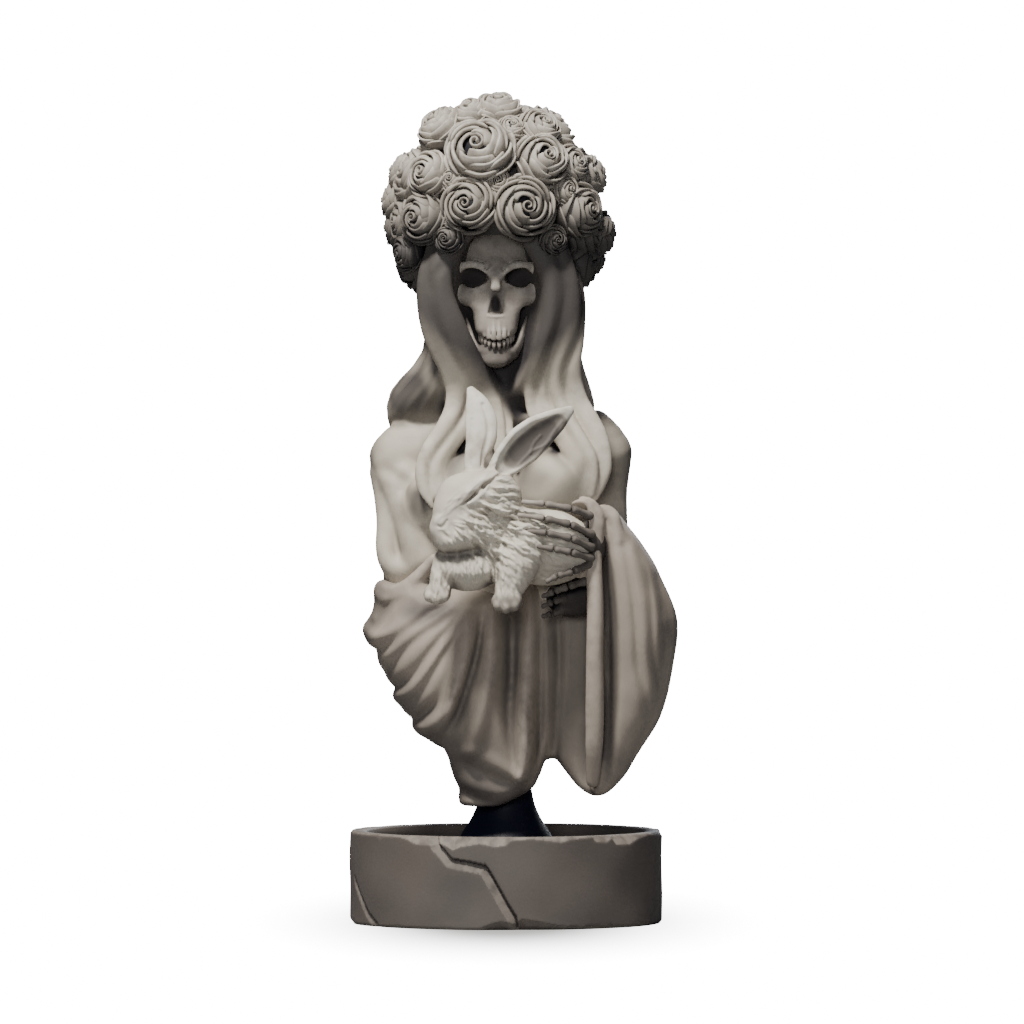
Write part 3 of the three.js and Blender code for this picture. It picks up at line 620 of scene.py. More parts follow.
    @staticmethod
    def quads_across(axis: int, inside: Array, index: Array) -> Array:
        """The quads round the grid edges that run along one axis."""
        inner = np.moveaxis(inside, axis, 0)[:, 1:-1, 1:-1]
        cells = np.moveaxis(index, axis, 0)
        changed = inner[:-1] != inner[1:]
        leaves = inner[:-1][changed]
        shape = changed.shape[1:]
        round_it = [cells[:, j : j + shape[0], k : k + shape[1]][changed]
                    for j, k in ((0, 0), (1, 0), (1, 1), (0, 1))]
        quads = np.stack(round_it, axis=-1)
        flip = leaves if axis != 1 else ~leaves
        quads[flip] = quads[flip][:, ::-1]
        return quads


# Meshes


def build(skin: Skin, name: str, material: bpy.types.Material, slot: Slot, most: int) -> Piece:
    """Puts a skin into a mesh in metres, as a piece that rides on the one body.

    Args:
        skin: the surface, in millimetres.
        name: the piece's name.
        material: its material.
        slot: the record's slot; not used.
        most: the number of triangles that it is thinned out to.
    """
    mesh = bpy.data.meshes.new(name)
    corners = np.concatenate([skin.quads.ravel(), skin.triangles.ravel()]).astype(np.int32)
    sizes = np.concatenate([np.full(len(skin.quads), 4), np.full(len(skin.triangles), 3)]).astype(np.int32)
    starts = np.concatenate([[0], np.cumsum(sizes)[:-1]]).astype(np.int32)
    mesh.vertices.add(len(skin.points))
    mesh.vertices.foreach_set("co", (skin.points * MM).astype(np.float32).ravel())
    mesh.loops.add(len(corners))
    mesh.loops.foreach_set("vertex_index", corners)
    mesh.polygons.add(len(sizes))
    mesh.polygons.foreach_set("loop_start", starts)
    mesh.polygons.foreach_set("use_smooth", np.full(len(sizes), True))
    mesh.update(calc_edges=True)
    relief = mesh.attributes.new("relief", "FLOAT", "POINT")
    relief.data.foreach_set("value", np.zeros(len(skin.points)) if skin.relief is None else skin.relief)
    mesh.materials.append(material)
    piece = bpy.data.objects.new(name, mesh)
    bpy.context.collection.objects.link(piece)
    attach(piece, "root")
    LOG.info("%s: %d points, %d faces", name, len(skin.points), len(sizes))
    thin_out(piece, most)
    return piece


def thin_out(piece: Piece, most: int) -> None:
    """Brings a piece down to at most so many triangles, where its surface is flattest first."""
    piece.data.calc_loop_triangles()
    count = len(piece.data.loop_triangles)
    if count <= most:
        return
    modifier = piece.modifiers.new("thin_out", "DECIMATE")
    modifier.ratio = most / count
    with bpy.context.temp_override(object=piece, active_object=piece, selected_objects=[piece]):
        bpy.ops.object.modifier_apply(modifier=modifier.name)
    LOG.info("%s: thinned from %d to %d triangles", piece.name, count, len(piece.data.polygons))


# Finishes


def stone_and_painted_light() -> bpy.types.NodeTree:
    """The group that colours cast stone: soft patches of uneven tone, painted shade in hollows, a painted
    highlight on crests and a fine grain.
    """
    found = bpy.data.node_groups.get("stone_and_painted_light")
    if found:
        return found
    group = bpy.data.node_groups.new("stone_and_painted_light", "ShaderNodeTree")
    face = group.interface
    # The Hollow and Crest colours are painted shade and a painted highlight; the float after Patches sets how
    # strong the painted shade is.
    for name, kind, value in (
        ("Light", "NodeSocketColor", (0.5, 0.5, 0.5, 1)), ("Dark", "NodeSocketColor", (0.3, 0.3, 0.3, 1)),
        ("Hollow", "NodeSocketColor", (0.02, 0.02, 0.02, 1)),
        ("Crest", "NodeSocketColor", (0.7, 0.7, 0.7, 1)), ("Patches", "NodeSocketFloat", 60.0),
        ("Painted shade", "NodeSocketFloat", 1.0), ("Grain", "NodeSocketFloat", 0.1),
        ("Smooth", "NodeSocketFloat", 0.5), ("Rough", "NodeSocketFloat", 0.7),
    ):
        face.new_socket(name=name, in_out="INPUT", socket_type=kind).default_value = value
    for name, kind in (("Color", "NodeSocketColor"), ("Roughness", "NodeSocketFloat"),
                       ("Normal", "NodeSocketVector")):
        face.new_socket(name=name, in_out="OUTPUT", socket_type=kind)
    nodes, links = group.nodes, group.links
    given, made = nodes.new("NodeGroupInput"), nodes.new("NodeGroupOutput")
    place, relief = nodes.new("ShaderNodeTexCoord"), nodes.new("ShaderNodeAttribute")
    relief.attribute_name = "relief"

    def noise(detail: float, scale: float | None = None) -> bpy.types.Node:
        """A noise over the object's own coordinates."""
        node = nodes.new("ShaderNodeTexNoise")
        node.inputs["Detail"].default_value = detail
        if scale is not None:
            node.inputs["Scale"].default_value = scale
        links.new(place.outputs["Object"], node.inputs["Vector"])
        return node

    def ranged(source: Socket, low: float, high: float) -> Socket:
        """A value brought from a range to 0 and 1."""
        node = nodes.new("ShaderNodeMapRange")
        node.inputs["From Min"].default_value = low
        node.inputs["From Max"].default_value = high
        links.new(source, node.inputs["Value"])
        return node.outputs["Result"]

    def mixed(share: Socket, a: Socket, b: Socket) -> Socket:
        """Two colours mixed by a share."""
        node = nodes.new("ShaderNodeMix")
        node.data_type = "RGBA"
        for source, socket in ((share, "Factor"), (a, "A"), (b, "B")):
            links.new(source, node.inputs[socket])
        return node.outputs["Result"]

    def product_of(a: Socket, b: Socket) -> Socket:
        """One value times another, held to 0 and 1."""
        node = nodes.new("ShaderNodeMath")
        node.operation = "MULTIPLY"
        node.use_clamp = True
        links.new(a, node.inputs[0])
        links.new(b, node.inputs[1])
        return node.outputs[0]

    patches, grain, fine = noise(4), noise(5, 1 / (0.8 * MM)), noise(3, 1 / (3.5 * MM))
    links.new(given.outputs["Patches"], patches.inputs["Scale"])
    soft = ranged(patches.outputs["Fac"], 0.32, 0.68)
    colour = mixed(soft, given.outputs["Dark"], given.outputs["Light"])
    # Painted highlight: crests take the pale crest colour, broken up by a fine noise.
    crest_highlight = product_of(ranged(relief.outputs["Fac"], -0.1, -0.7), ranged(fine.outputs["Fac"], 0.3, 0.6))
    colour = mixed(crest_highlight, colour, given.outputs["Crest"])
    # Painted shade: hollows are darkened towards the hollow colour.
    hollow = product_of(ranged(relief.outputs["Fac"], 0.12, 0.95), given.outputs["Painted shade"])
    colour = mixed(hollow, colour, given.outputs["Hollow"])
    links.new(colour, made.inputs["Color"])
    sheen = nodes.new("ShaderNodeMapRange")
    links.new(grain.outputs["Fac"], sheen.inputs["Value"])
    links.new(given.outputs["Smooth"], sheen.inputs["To Min"])
    links.new(given.outputs["Rough"], sheen.inputs["To Max"])
    links.new(sheen.outputs["Result"], made.inputs["Roughness"])
    bump = nodes.new("ShaderNodeBump")
    bump.inputs["Distance"].default_value = 0.12 * MM
    links.new(given.outputs["Grain"], bump.inputs["Strength"])
    links.new(grain.outputs["Fac"], bump.inputs["Height"])
    links.new(bump.outputs["Normal"], made.inputs["Normal"])
    return group


@dataclass(frozen=True)
class Stone:
    """Cast resin with the look of fine stone, uneven in tone, with painted shade in its hollows and a painted
    highlight on its crests.
    """

    name: str
    light: Point
    dark: Point
    # The colours of the painted shade in hollows and of the painted highlight on crests.
    hollow: Point
    crest: Point
    patch_size: float = 14.0
    # How strongly the hollows are painted with shade.
    paint_shade: float = 0.9
    grain: float = 0.2
    roughness: tuple[float, float] = (0.5, 0.75)
    specular: float = 0.35

    def material(self) -> bpy.types.Material:
        """The material, made once: the group of stone tone and painted light, with this stone's own values.
        """
        found = bpy.data.materials.get(self.name)
        if found:
            return found
        made = bpy.data.materials.new(self.name)
        made.use_nodes = True
        nodes, links = made.node_tree.nodes, made.node_tree.links
        shader = nodes["Principled BSDF"]
        shader.inputs["Specular IOR Level"].default_value = self.specular
        look = nodes.new("ShaderNodeGroup")
        look.node_tree = stone_and_painted_light()
        for name, value in (
            ("Light", (*self.light, 1)), ("Dark", (*self.dark, 1)), ("Hollow", (*self.hollow, 1)),
            ("Crest", (*self.crest, 1)), ("Patches", 1 / (self.patch_size * MM)), ("Painted shade", self.paint_shade),
            ("Grain", self.grain), ("Smooth", self.roughness[0]), ("Rough", self.roughness[1]),
        ):
            look.inputs[name].default_value = value
        for output, socket in (("Color", "Base Color"), ("Roughness", "Roughness"), ("Normal", "Normal")):
            links.new(look.outputs[output], shader.inputs[socket])
        return made


# The parts' tones are partly painted light: the skull, and with it the hands, darker as painted shade under
# the crown;
# its own tone and partly as painted shade. The hollow colours are painted shade and the crest colours a
# painted highlight.
# the roses and the cloth darker as painted shade, the rabbit paler as a painted highlight, and the tray
# darker partly by
ROSE_STONE = Stone("rose_stone", (0.33, 0.305, 0.27), (0.26, 0.24, 0.215), (0.012, 0.012, 0.018),
                   (0.52, 0.49, 0.44), paint_shade=1.0)
FLESH_STONE = Stone("flesh_stone", (0.56, 0.52, 0.44), (0.46, 0.42, 0.36), (0.04, 0.036, 0.04),
                    (0.66, 0.62, 0.54), paint_shade=1.0)
BONE_STONE = Stone("bone_stone", (0.34, 0.31, 0.28), (0.22, 0.195, 0.175), (0.004, 0.004, 0.009),
                   (0.46, 0.43, 0.39), patch_size=5, paint_shade=1.0, specular=0.15)
CLOTH_STONE = Stone("cloth_stone", (0.4, 0.35, 0.3), (0.31, 0.275, 0.24), (0.055, 0.05, 0.055),
                    (0.47, 0.42, 0.365), paint_shade=0.7)
FUR_STONE = Stone("fur_stone", (0.66, 0.63, 0.55), (0.55, 0.51, 0.44), (0.07, 0.06, 0.06), (0.78, 0.76, 0.7))
TRAY_STONE = Stone("tray_stone", (0.145, 0.125, 0.115), (0.115, 0.105, 0.1), (0.004, 0.004, 0.01),
                   (0.25, 0.225, 0.2), patch_size=24, paint_shade=0.6)
POST_PAINT = Stone("post_paint", (0.005, 0.006, 0.026), (0.004, 0.005, 0.018), (0.002, 0.002, 0.008),
                   (0.01, 0.011, 0.02), roughness=(0.45, 0.6))


# Crown of roses


@dataclass
class Crown:
    """Roses set close on a dome, each of thick petals wound round a bud."""

    centre: Point = (-2.6, 2.0, 208.0)
    radii: Point = (28.4, 28.5, 36.4)
    front: list = table(
        (-2.5, 243.6, 6.3), (-10.4, 242.6, 5.2), (-19.6, 238.6, 6.2), (-7.8, 231.8, 8.9), (9.8, 238.4, 5.6),
        (10.4, 229.2, 7.2), (19.2, 228, 5), (25, 224.4, 5.6), (-22.4, 224.8, 6.4), (-30, 224.6, 5.8),
        (-24.2, 212, 6.8), (-31.6, 208.6, 5.6), (-10.8, 216.2, 7.3), (5, 215.4, 8.1), (21.4, 214.4, 7),
        (27.6, 207, 6), (-29, 201.4, 5), (25.6, 199.6, 4.8), (17.6, 220.4, 4), (-15.8, 223.6, 3.6),
        (-2.6, 223, 3.4), (1.6, 238.6, 3.8), (-17, 206.4, 4), (14, 205.8, 3.8), (-33, 216.4, 5),
    )
    back_rows: list = table(
        (198.5, 6, 7.8, -12, 192, 0.84), (210, 5, 9, -14, 194, 0.86), (223.6, 6, 8.4, -13, 193, 0.82),
        (236.6, 4, 8.2, -6, 186, 0.5),
    )
    rings: list = table(
        (3, 0.78, 0.38, 72, 0.1, 0.04), (3, 0.86, 0.62, 66, 0.11, 0.1), (4, 0.95, 0.86, 54, 0.1, 0.18),
        (5, 1.04, 1.13, 46, 0.09, 0.28), (6, 1.1, 1.45, 42, 0.05, 0.32),
    )

    def petal(self, turn: float, span: float, reach: float, lip: float, lean: float, droop: float,
              wave: float) -> tuple[Array, Array]:
        """A thick petal in the rose's own frame, at size one: a patch of a ball with a rolled lip.

        Across it runs s from -1 to 1, and round its section u from the outer foot over the lip to the inner
        foot, with t = 1 - |u|^1.6. It stands at an angle from the axis that falls from the foot's to the
        lip's as t rises. The lip droops to both sides as |s|^3 and runs a little aslant. The ball grows by
        lean * s, so that one side lies over the next petal and the other under it. It curls out by the
        square of the last third of t, and is drawn in at both sides by s^4.
        """
        foot = 2.2
        s = np.linspace(-1, 1, 13)[:, None]
        u = np.linspace(-1, 1, 15)[None]
        t = 1 - np.abs(u) ** 1.6
        edge = lip + 0.1 * s + droop * np.abs(s - 0.1) ** 3 + 0.035 * np.sin(4 * s + wave)
        slope = foot + (edge - foot) * t
        curl = np.clip((t - 0.68) / 0.32, 0, 1) ** 2
        half = (0.045 + 0.075 * curl) * np.sqrt(1 - (1 - np.abs(u)) ** 6) * (1 - np.abs(s) ** 5)
        radius = reach * (1 + lean * s) + 0.13 * curl * (1 - 0.4 * s**2) - 0.08 * s**4 - half * np.sign(u)
        angle = turn + np.radians(span) * s
        out, up = radius * np.sin(slope), radius * np.cos(slope)
        # Painted shade towards the petal's foot and on its inner face, and a painted highlight towards its
        # lip.
        relief = np.clip(1.1 - 1.8 * t, -0.75, 0.9) + np.where(u > 0, 0.6, 0.0) + 0 * s
        return np.stack([out * np.cos(angle), out * np.sin(angle), up], axis=-1), relief

    def bud(self, turn: float) -> tuple[Array, Array]:
        """The wound heart of a rose: a thick wall on a spiral that opens and sinks as it goes round."""
        s = np.linspace(0, 1, 40)[:, None]
        c = np.linspace(0, 2 * np.pi, 10, endpoint=False)[None]
        angle = turn + 2 * np.pi * 1.5 * s
        top = 0.96 - 0.1 * s**1.5
        up = top - 0.3 + 0.3 * np.sin(c)
        out = 0.05 + 0.22 * s + 0.055 * np.cos(c) + 0.04 * s * np.sin(c)
        # Painted shade low in the bud's wall and a painted highlight along its top.
        relief = np.clip(0.7 - 1.3 * (up - top + 0.6) / 0.6, -0.6, 0.7)
        return np.stack([out * np.cos(angle), out * np.sin(angle), up], axis=-1), relief

    def heart(self) -> tuple[Array, Array]:
        """The ball that the petals lie on, so that the gaps between them are no deeper than carved ones."""
        size = 0.74
        slope = np.linspace(0.12, 2.9, 9)[:, None]
        angle = np.linspace(0, 2 * np.pi, 14, endpoint=False)[None]
        out, up = size * np.sin(slope), size * np.cos(slope) + 0 * angle
        rings = np.stack([out * np.cos(angle), out * np.sin(angle), up], axis=-1)
        # Painted shade over all of it, in the gaps between the petals.
        return rings, np.full(rings.shape[:2], 1.0)

    def rose(self, at: Array, size: float, seed: int) -> list[Skin]:
        """One rose: ring after ring of petals, each ring turned on from the last."""
        rng = np.random.default_rng(seed)
        outward = unit((at - np.array(self.centre)) * np.array([1, 1, 0.6]))
        side = np.cross((0, 0, 1), outward)
        side = unit(side) if np.linalg.norm(side) > 0.1 else np.array([1.0, 0, 0])
        basis = np.stack([side, np.cross(outward, side), outward])
        turn = rng.uniform(0, 2 * np.pi)
        grids = [self.heart(), self.bud(turn)]
        for count, reach, lip, span, lean, droop in self.rings:
            turn += np.pi / count + 0.5
            for k in range(count):
                jitter = rng.uniform(-1, 1, 5)
                grids.append(self.petal(
                    turn + 2 * np.pi * k / count + 0.2 * jitter[0], span + 6 * jitter[1],
                    reach * (1 + 0.025 * jitter[2]), lip + 0.05 * jitter[3], lean, droop, 3 * jitter[4],
                ))
        skins = []
        # Painted shade on the roses lower on the crown, stronger further down, for the shade under the
        # crown's overhang.
        dim_below, fading = 230, 26
        for grid, relief in grids:
            rings = at + size * grid @ basis
            dim = 0.85 * np.clip((dim_below - rings[..., 2]) / fading, 0, 1)
            first, last = rings[0].mean(axis=0), rings[-1].mean(axis=0)
            skins.append(rings_to_skin(rings, first, last, relief + dim * (1 - relief)))
        return skins

    def places(self) -> tuple[list, list]:
        """Where the roses sit, each a place and a size, those in front and those behind."""
        cx, cy, cz = self.centre
        rx, ry, rz = self.radii
        front = []
        for x, z, size in self.front:
            left = max(1 - abs((x - cx) / rx) ** 2.5 - abs((z - cz) / rz) ** 2.5, 0)
            front.append((np.array([x, cy - ry * left**0.45, z]), size))
        back = []
        for height, count, size, start, end, reach in self.back_rows:
            for turn in np.radians(np.linspace(start, end, count)):
                at = [cx + rx * reach * math.cos(turn), cy + ry * reach * math.sin(turn), height]
                back.append((np.array(at), size))
        return front, back

    def make(self) -> list[Piece]:
        """Builds the roses in front, those behind, and the dome that carries them."""
        stone = ROSE_STONE.material()
        front, back = self.places()
        pieces = []
        groups = ("roses_front", front, 10, 145_000), ("roses_back", back, 60, 100_000)
        for name, roses, seed, most in groups:
            skins = [skin for i, (at, size) in enumerate(roses) for skin in self.rose(at, size, seed + i)]
            pieces.append(build(merge(skins), name, stone, Slot.BUST, most))
        clay = Clay((-36, -34, 194), (32, 38, 246), cell=1.0)
        clay.add(Column([
            (203, -24, 19, -13, 24), (208, -27, 21.5, -17, 26), (213, -28.6, 23, -23, 27),
            (224, -27.4, 21.6, -22.6, 25), (233, -20, 15, -16, 19), (241, -12.5, 7.5, -10, 13),
        ]))
        for at, size in front + back:
            inward = unit(np.array(self.centre) - at) * 0.5 * size
            clay.add(Ball(tuple(at + inward), (0.7 * size,) * 3), 2)
        # Painted shade over the whole dome between the roses.
        clay.paint_shade_in(Ball(self.centre, (60, 60, 60)), 0.75, 1)
        pieces.append(build(clay.skin(), "crown_dome", stone, Slot.BUST, most=16_000))
        return pieces


# Skull


@dataclass
class Skull:
    """Bare bone: forehead, angry brow, open sockets and nose, cheekbones, jaws and teeth.

    Places are measured from the middle of the face, in millimetres.
    """

    middle: float = -2.9
    face_rows: list = table(
        (212, 6, -12, 6), (208, 9.4, -16, 10), (203, 10.6, -18.6, 12), (199.5, 11.3, -19.2, 12),
        (196.5, 11.9, -18.6, 10), (193, 12.3, -17.9, 8), (190, 12.5, -17.6, 4), (188, 12.4, -17.9, 0),
        (186.6, 11.2, -18.2, -3), (184.8, 8.6, -18.7, -5), (182.8, 7.1, -19.1, -6), (180, 6.5, -19.6, -7),
        (176.4, 6.1, -19.6, -8),
    )
    jaw_rows: list = table(
        (174.5, 5.6, -18.5, -9), (173, 6.3, -18.5, -9), (171, 5.9, -18.4, -9), (169, 5, -19.1, -9.6),
        (167.8, 3.8, -18.6, -10.4), (167, 2.4, -17.5, -11),
    )
    teeth: list = table(
        (0.95, 0.95), (2.7, 0.82), (4.3, 0.78), (5.8, 0.7), (7.2, 0.68), (8.6, 0.7), (10, 0.74),
    )

    def at(self, x: float, y: float, z: float) -> Point:
        """A place in the frame, from one that is measured from the middle of the face."""
        return self.middle + x, y, z

    def line(self, places: list, side: int = 1) -> list[Point]:
        """Places in the frame, from ones measured from the middle of the face towards a side."""
        return [self.at(side * x, y, z) for x, y, z in places]

    def level(self, rows: list) -> list:
        """Column rows from rows of height, half the width, front and back."""
        return [(z, self.middle - half, self.middle + half, front, back) for z, half, front, back in rows]

    def make(self) -> list[Piece]:
        """Builds the skull: face, ridges and jaws joined, then sockets, nose and cheek hollows cut."""
        clay = Clay((-19, -24, 163), (14, 12, 213), cell=0.27)
        at = self.at
        clay.add(Column(self.level(self.face_rows), 2.9, blur=0.9))
        clay.add(Column(self.level(self.jaw_rows), 2.2, blur=0.7), 0.2)
        clay.cut(Ball(at(0, -7.4, 171), (4.4, 8, 7)), 1)
        clay.add(Ball(at(-0.2, -18.8, 198.2), (2.6, 1.7, 1.9)), 1.2)
        bridge = self.line([(-0.2, -18.6, 197.4), (-0.2, -20.2, 194.2), (-0.2, -21.4, 191.4)])
        clay.add(Strand(bridge, [1.9, 1.35, 1.5], 1.5, steps=5), 1)
        for s in (-1, 1):
            self.side(clay, s)
        nose = self.line([(-0.3, -22, 190), (-0.3, -21.6, 187), (-0.2, -21.2, 183.6)])
        clay.cut(Strand(nose, [1.6, 2.3, 2.9], [4.2, 4.7, 4.6], steps=7, tip=0.3), 0.3)
        sill = self.line([(-2.4, -18.9, 182.7), (0, -19.1, 182.5), (2, -18.9, 182.7)])
        clay.add(Strand(sill, 0.35, steps=5), 0.5)
        for path in (
            [(-5.2, -19.8, 201.3), (-3.2, -20.6, 200), (-1.4, -20.8, 199.6), (0.6, -20.6, 200.6),
             (1.8, -20, 202)], [(2.1, -20.4, 196.8), (2.7, -20.7, 199), (3.6, -20.4, 200.8)],
            [(-3, -20.4, 197.2), (-2, -20.6, 198.4)],
        ):
            clay.cut(Strand(self.line(path), 0.5, 0.55, steps=8), 0.7)
        self.bite(clay)
        # Painted shade in the sockets, the nose, behind the teeth, over the chin and jaw, behind and under
        # the cheekbones, and on the forehead under the crown.
        for place, radii, amount, soft in (
            ((-6.8, -9.2, 194.4), (3.9, 8.2, 2.9), 1, 0.8), ((6.8, -9.2, 194.4), (3.9, 8.2, 2.9), 1, 0.8),
            ((0, -9, 176), (5, 4, 4), 1, 0.8), ((-0.2, -16, 187), (2.8, 2.4, 4.4), 0.9, 1.6),
            ((0, -17, 170), (10, 6, 6.5), 0.75, 5), ((0, -12, 209), (16, 12, 7), 0.4, 8),
            ((-8.6, -9, 180), (3, 5, 9), 0.75, 3), ((-10.4, -14, 182.4), (2.2, 4.6, 4.6), 0.85, 3),
            ((8.6, -9, 180), (3, 5, 9), 0.75, 3), ((10.4, -14, 182.4), (2.2, 4.6, 4.6), 0.85, 3),
        ):
            clay.paint_shade_in(Ball(at(*place), radii), amount, soft)
        return [build(clay.skin(), "skull", BONE_STONE.material(), Slot.BUST, most=112_000)]

    def side(self, clay: Clay, s: int) -> None:
        """One side of the face, s -1 for the left and 1 for the right."""
        at = self.at
        brow = self.line([
            (1.5, -19.4, 194.6), (2.9, -20, 196.5), (6.2, -19.4, 198.1), (9.6, -17.7, 197.8),
            (11.9, -15.4, 196), (12.7, -14.2, 193.4),
        ], s)
        clay.add(Strand(brow, [0.8, 1.1, 1.1, 1.05, 1.1, 1.1], 0.9, steps=14), 1.8)
        clay.add(Ball(at(9.8 * s, -14.6, 189.2), (4, 2.6, 2.2), (0, 14 * s, 0)), 2.4)
        arch = self.line([(9.6, -15.6, 189.2), (12, -12.4, 189.8), (12.9, -8, 190.6), (12.6, -2, 192)], s)
        clay.add(Strand(arch, [1.6, 1.4, 1.2, 1.1], [1, 0.9, 0.8, 0.8], (s, -0.4, 0), steps=9), 0.7)
        clay.add(Ball(at(1.1 * s, -18.3, 169.2), (2.2, 1.3, 1.5)), 1.4)
        clay.cut(Ball(at(14.4 * s, -12, 200), (2.4, 6, 5)), 2)
        for x, z, wide, tall in ((6.9, 194.5, 4, 2.5), (8, 193.9, 2.9, 2.75), (4.6, 194.1, 2.4, 1.7),
                                 (9, 195, 2.3, 2)):
            clay.cut(Ball(at(x * s, -19.4, z), (wide, 6.4, tall), (0, -6 * s, 0)), 0.5)
        clay.cut(Ball(at(6.7 * s, -13.6, 194.3), (4, 6.6, 3.4)), 0.5)
        rim = self.line([
            (10.6, -17, 197.6), (12, -16.2, 196), (12.4, -15.8, 193.2), (12.3, -15.2, 190.6),
            (12.2, -14, 188.2),
        ], s)
        clay.add(Strand(rim, [1, 1.2, 1.25, 1.5, 1.4], steps=10), 1.6)
        clay.cut(Ball(at(9.4 * s, -15, 182.4), (2.3, 11, 3.3), (0, -20 * s, 0)), 0.4)
        ramus = self.line([
            (12.2, -10, 189), (10.9, -11, 184.8), (8.7, -12.2, 179.6), (7.1, -13.6, 174.8), (5.4, -15, 171.4),
        ], s)
        width, depth = [2.6, 2.4, 2.2, 2.3, 2.4], [1, 0.9, 0.85, 0.95, 1.2]
        clay.add(Strand(ramus, width, depth, (s, -0.2, 0), steps=14), 0.9)
        clay.cut(Ball(at(5.6 * s, -19.6, 187.2), (2.6, 1.3, 1.6)), 1.4)
        clay.cut(Strand(self.line([(3.4, -20.4, 184.6), (4.2, -20.4, 182)], s), 0.6, 0.9, steps=4), 1)

    def bite(self, clay: Clay) -> None:
        """Both rows of teeth, each tooth on an ellipse about the mouth and broadest at the biting edge."""
        half_wide, forward, behind, level = 5.5, 6.5, -13.3, 175.1
        for s, (along, half) in product((-1, 1), self.teeth):
            a = along / 6.1
            x, y = s * half_wide * math.sin(a) + 0.1, behind - forward * math.cos(a)
            bite = level + 2.3 * (x / 5.2) ** 2
            facing = (math.sin(a) * s, -math.cos(a), 0)
            short = 0.5 * along / 10
            upper = self.line([
                (x * 0.98, y + 0.7, bite + 6.4), (x * 0.99, y + 0.3, bite + 4.4),
                (x, y - 0.1, bite + 2.6 - short), (x, y - 0.1, bite + 0.75),
            ])
            width = [0.3, 0.5 * half, 0.8 * half, half * 0.92]
            clay.add(Strand(upper, width, [0.4, 0.55, 0.62, 0.5], facing, 5), 0.2)
            half *= 0.8
            lower_x = x * 0.93
            lower = self.line([
                (lower_x, y + 0.9, bite - 2.4), (lower_x, y + 0.5, bite - 1.4),
                (lower_x, y + 0.5, bite - 0.3),
            ])
            clay.add(Strand(lower, [0.4, 0.8 * half, half], [0.4, 0.55, 0.4], facing, 4), 0.16)


# Body and hair


